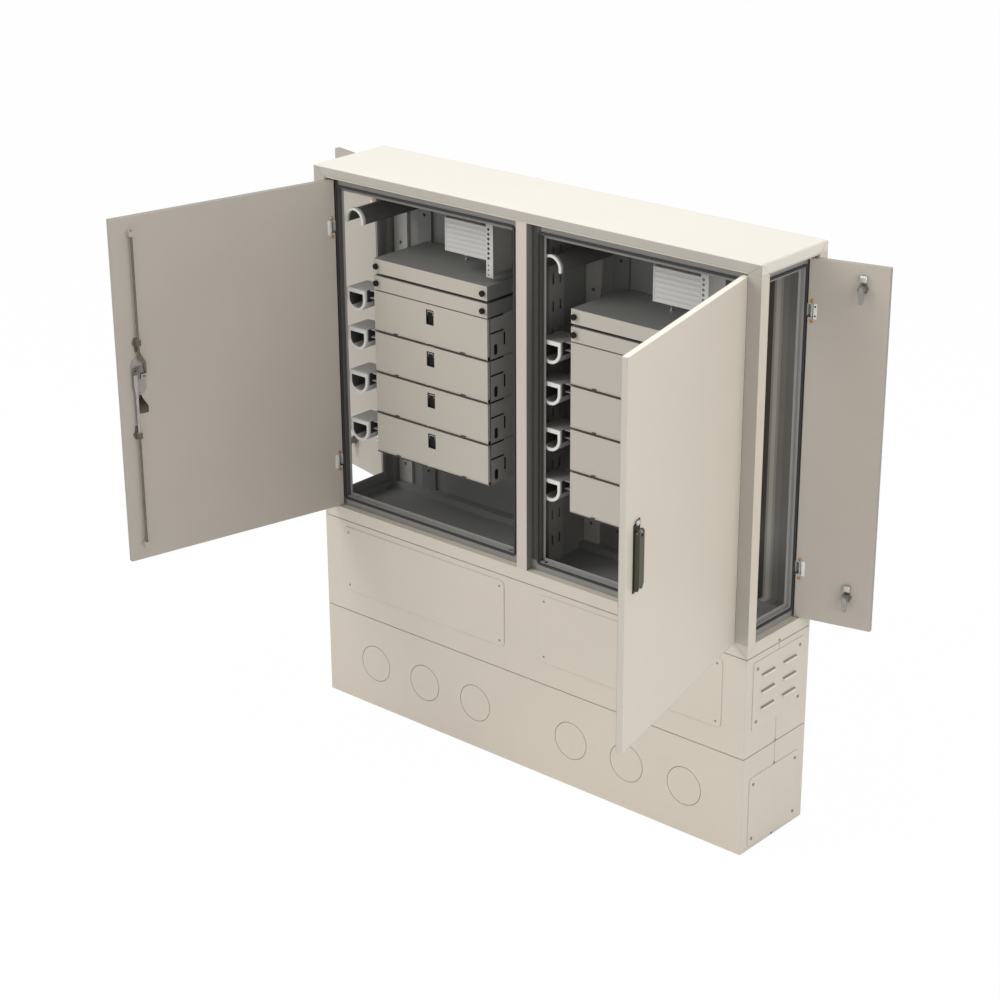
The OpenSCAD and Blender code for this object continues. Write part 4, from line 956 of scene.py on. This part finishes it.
studio = {
    "floorTone": (0.86, 0.86, 0.86),
    "floorRoughness": 0.9,
    "floorRadius": 30,
    "floorSteps": 96,
    "floorWhiteness": 0.98,
    "white": (1.0, 1.0, 1.0),
    "ambient": 0.60,
    "aim": (0, 0, 0.9),
    "lamps": [
        {"name": "key", "place": (-3.2, -4.5, 5.2), "size": 4.0, "power": 185},
        {"name": "side", "place": (5.5, -1.5, 3.0), "size": 3.5, "power": 95},
        {"name": "top", "place": (0.0, 0.5, 5.5), "size": 3.5, "power": 80},
    ],
}


# full white where it is seen, and a softer light for everything else
def setSurroundings():
    world = bpy.data.worlds.new("studio")
    world.use_nodes = True
    bpy.context.scene.world = world
    sky = Shader(world.node_tree)
    backdrop = sky.tree.nodes["Background"]
    sky.feed(backdrop.inputs["Color"], studio["white"])
    sky.feed(backdrop.inputs["Strength"], studio["ambient"] + sky.seen() * (1 - studio["ambient"]))


def setLamps():
    for lamp in studio["lamps"]:
        light = bpy.data.lights.new(lamp["name"], "AREA")
        light.shape = "DISK"
        light.size = lamp["size"]
        light.energy = lamp["power"]
        holder = bpy.data.objects.new(lamp["name"], light)
        bpy.context.scene.collection.objects.link(holder)
        holder.location = lamp["place"]
        aim = Vector(studio["aim"]) - holder.location
        holder.rotation_euler = aim.to_track_quat("-Z", "Y").to_euler()


def floorFinish():
    finish = Finish("studioFloor")
    finish.set(Base_Color=studio["floorTone"], Roughness=studio["floorRoughness"])
    glow = finish.add("ShaderNodeEmission", None, {"Color": studio["white"], "Strength": 1.0})
    mixed = finish.add("ShaderNodeMixShader", None, {0: finish.seen() * studio["floorWhiteness"],
                                                     1: Wire(finish, finish.surface.outputs[0]), 2: glow})
    finish.feed(finish.tree.nodes["Material Output"].inputs["Surface"], mixed)
    return finish.material


def layFloor():
    mesh = bpy.data.meshes.new("floor")
    form = bmesh.new()
    bmesh.ops.create_circle(form, cap_ends=True, radius=studio["floorRadius"], segments=studio["floorSteps"])
    form.to_mesh(mesh)
    form.free()
    floor = bpy.data.objects.new("floor", mesh)
    bpy.context.scene.collection.objects.link(floor)
    mesh.materials.append(floorFinish())


bpy.context.scene.view_settings.view_transform = "Standard"
setSurroundings()
setLamps()
layFloor()
print("studio ready")
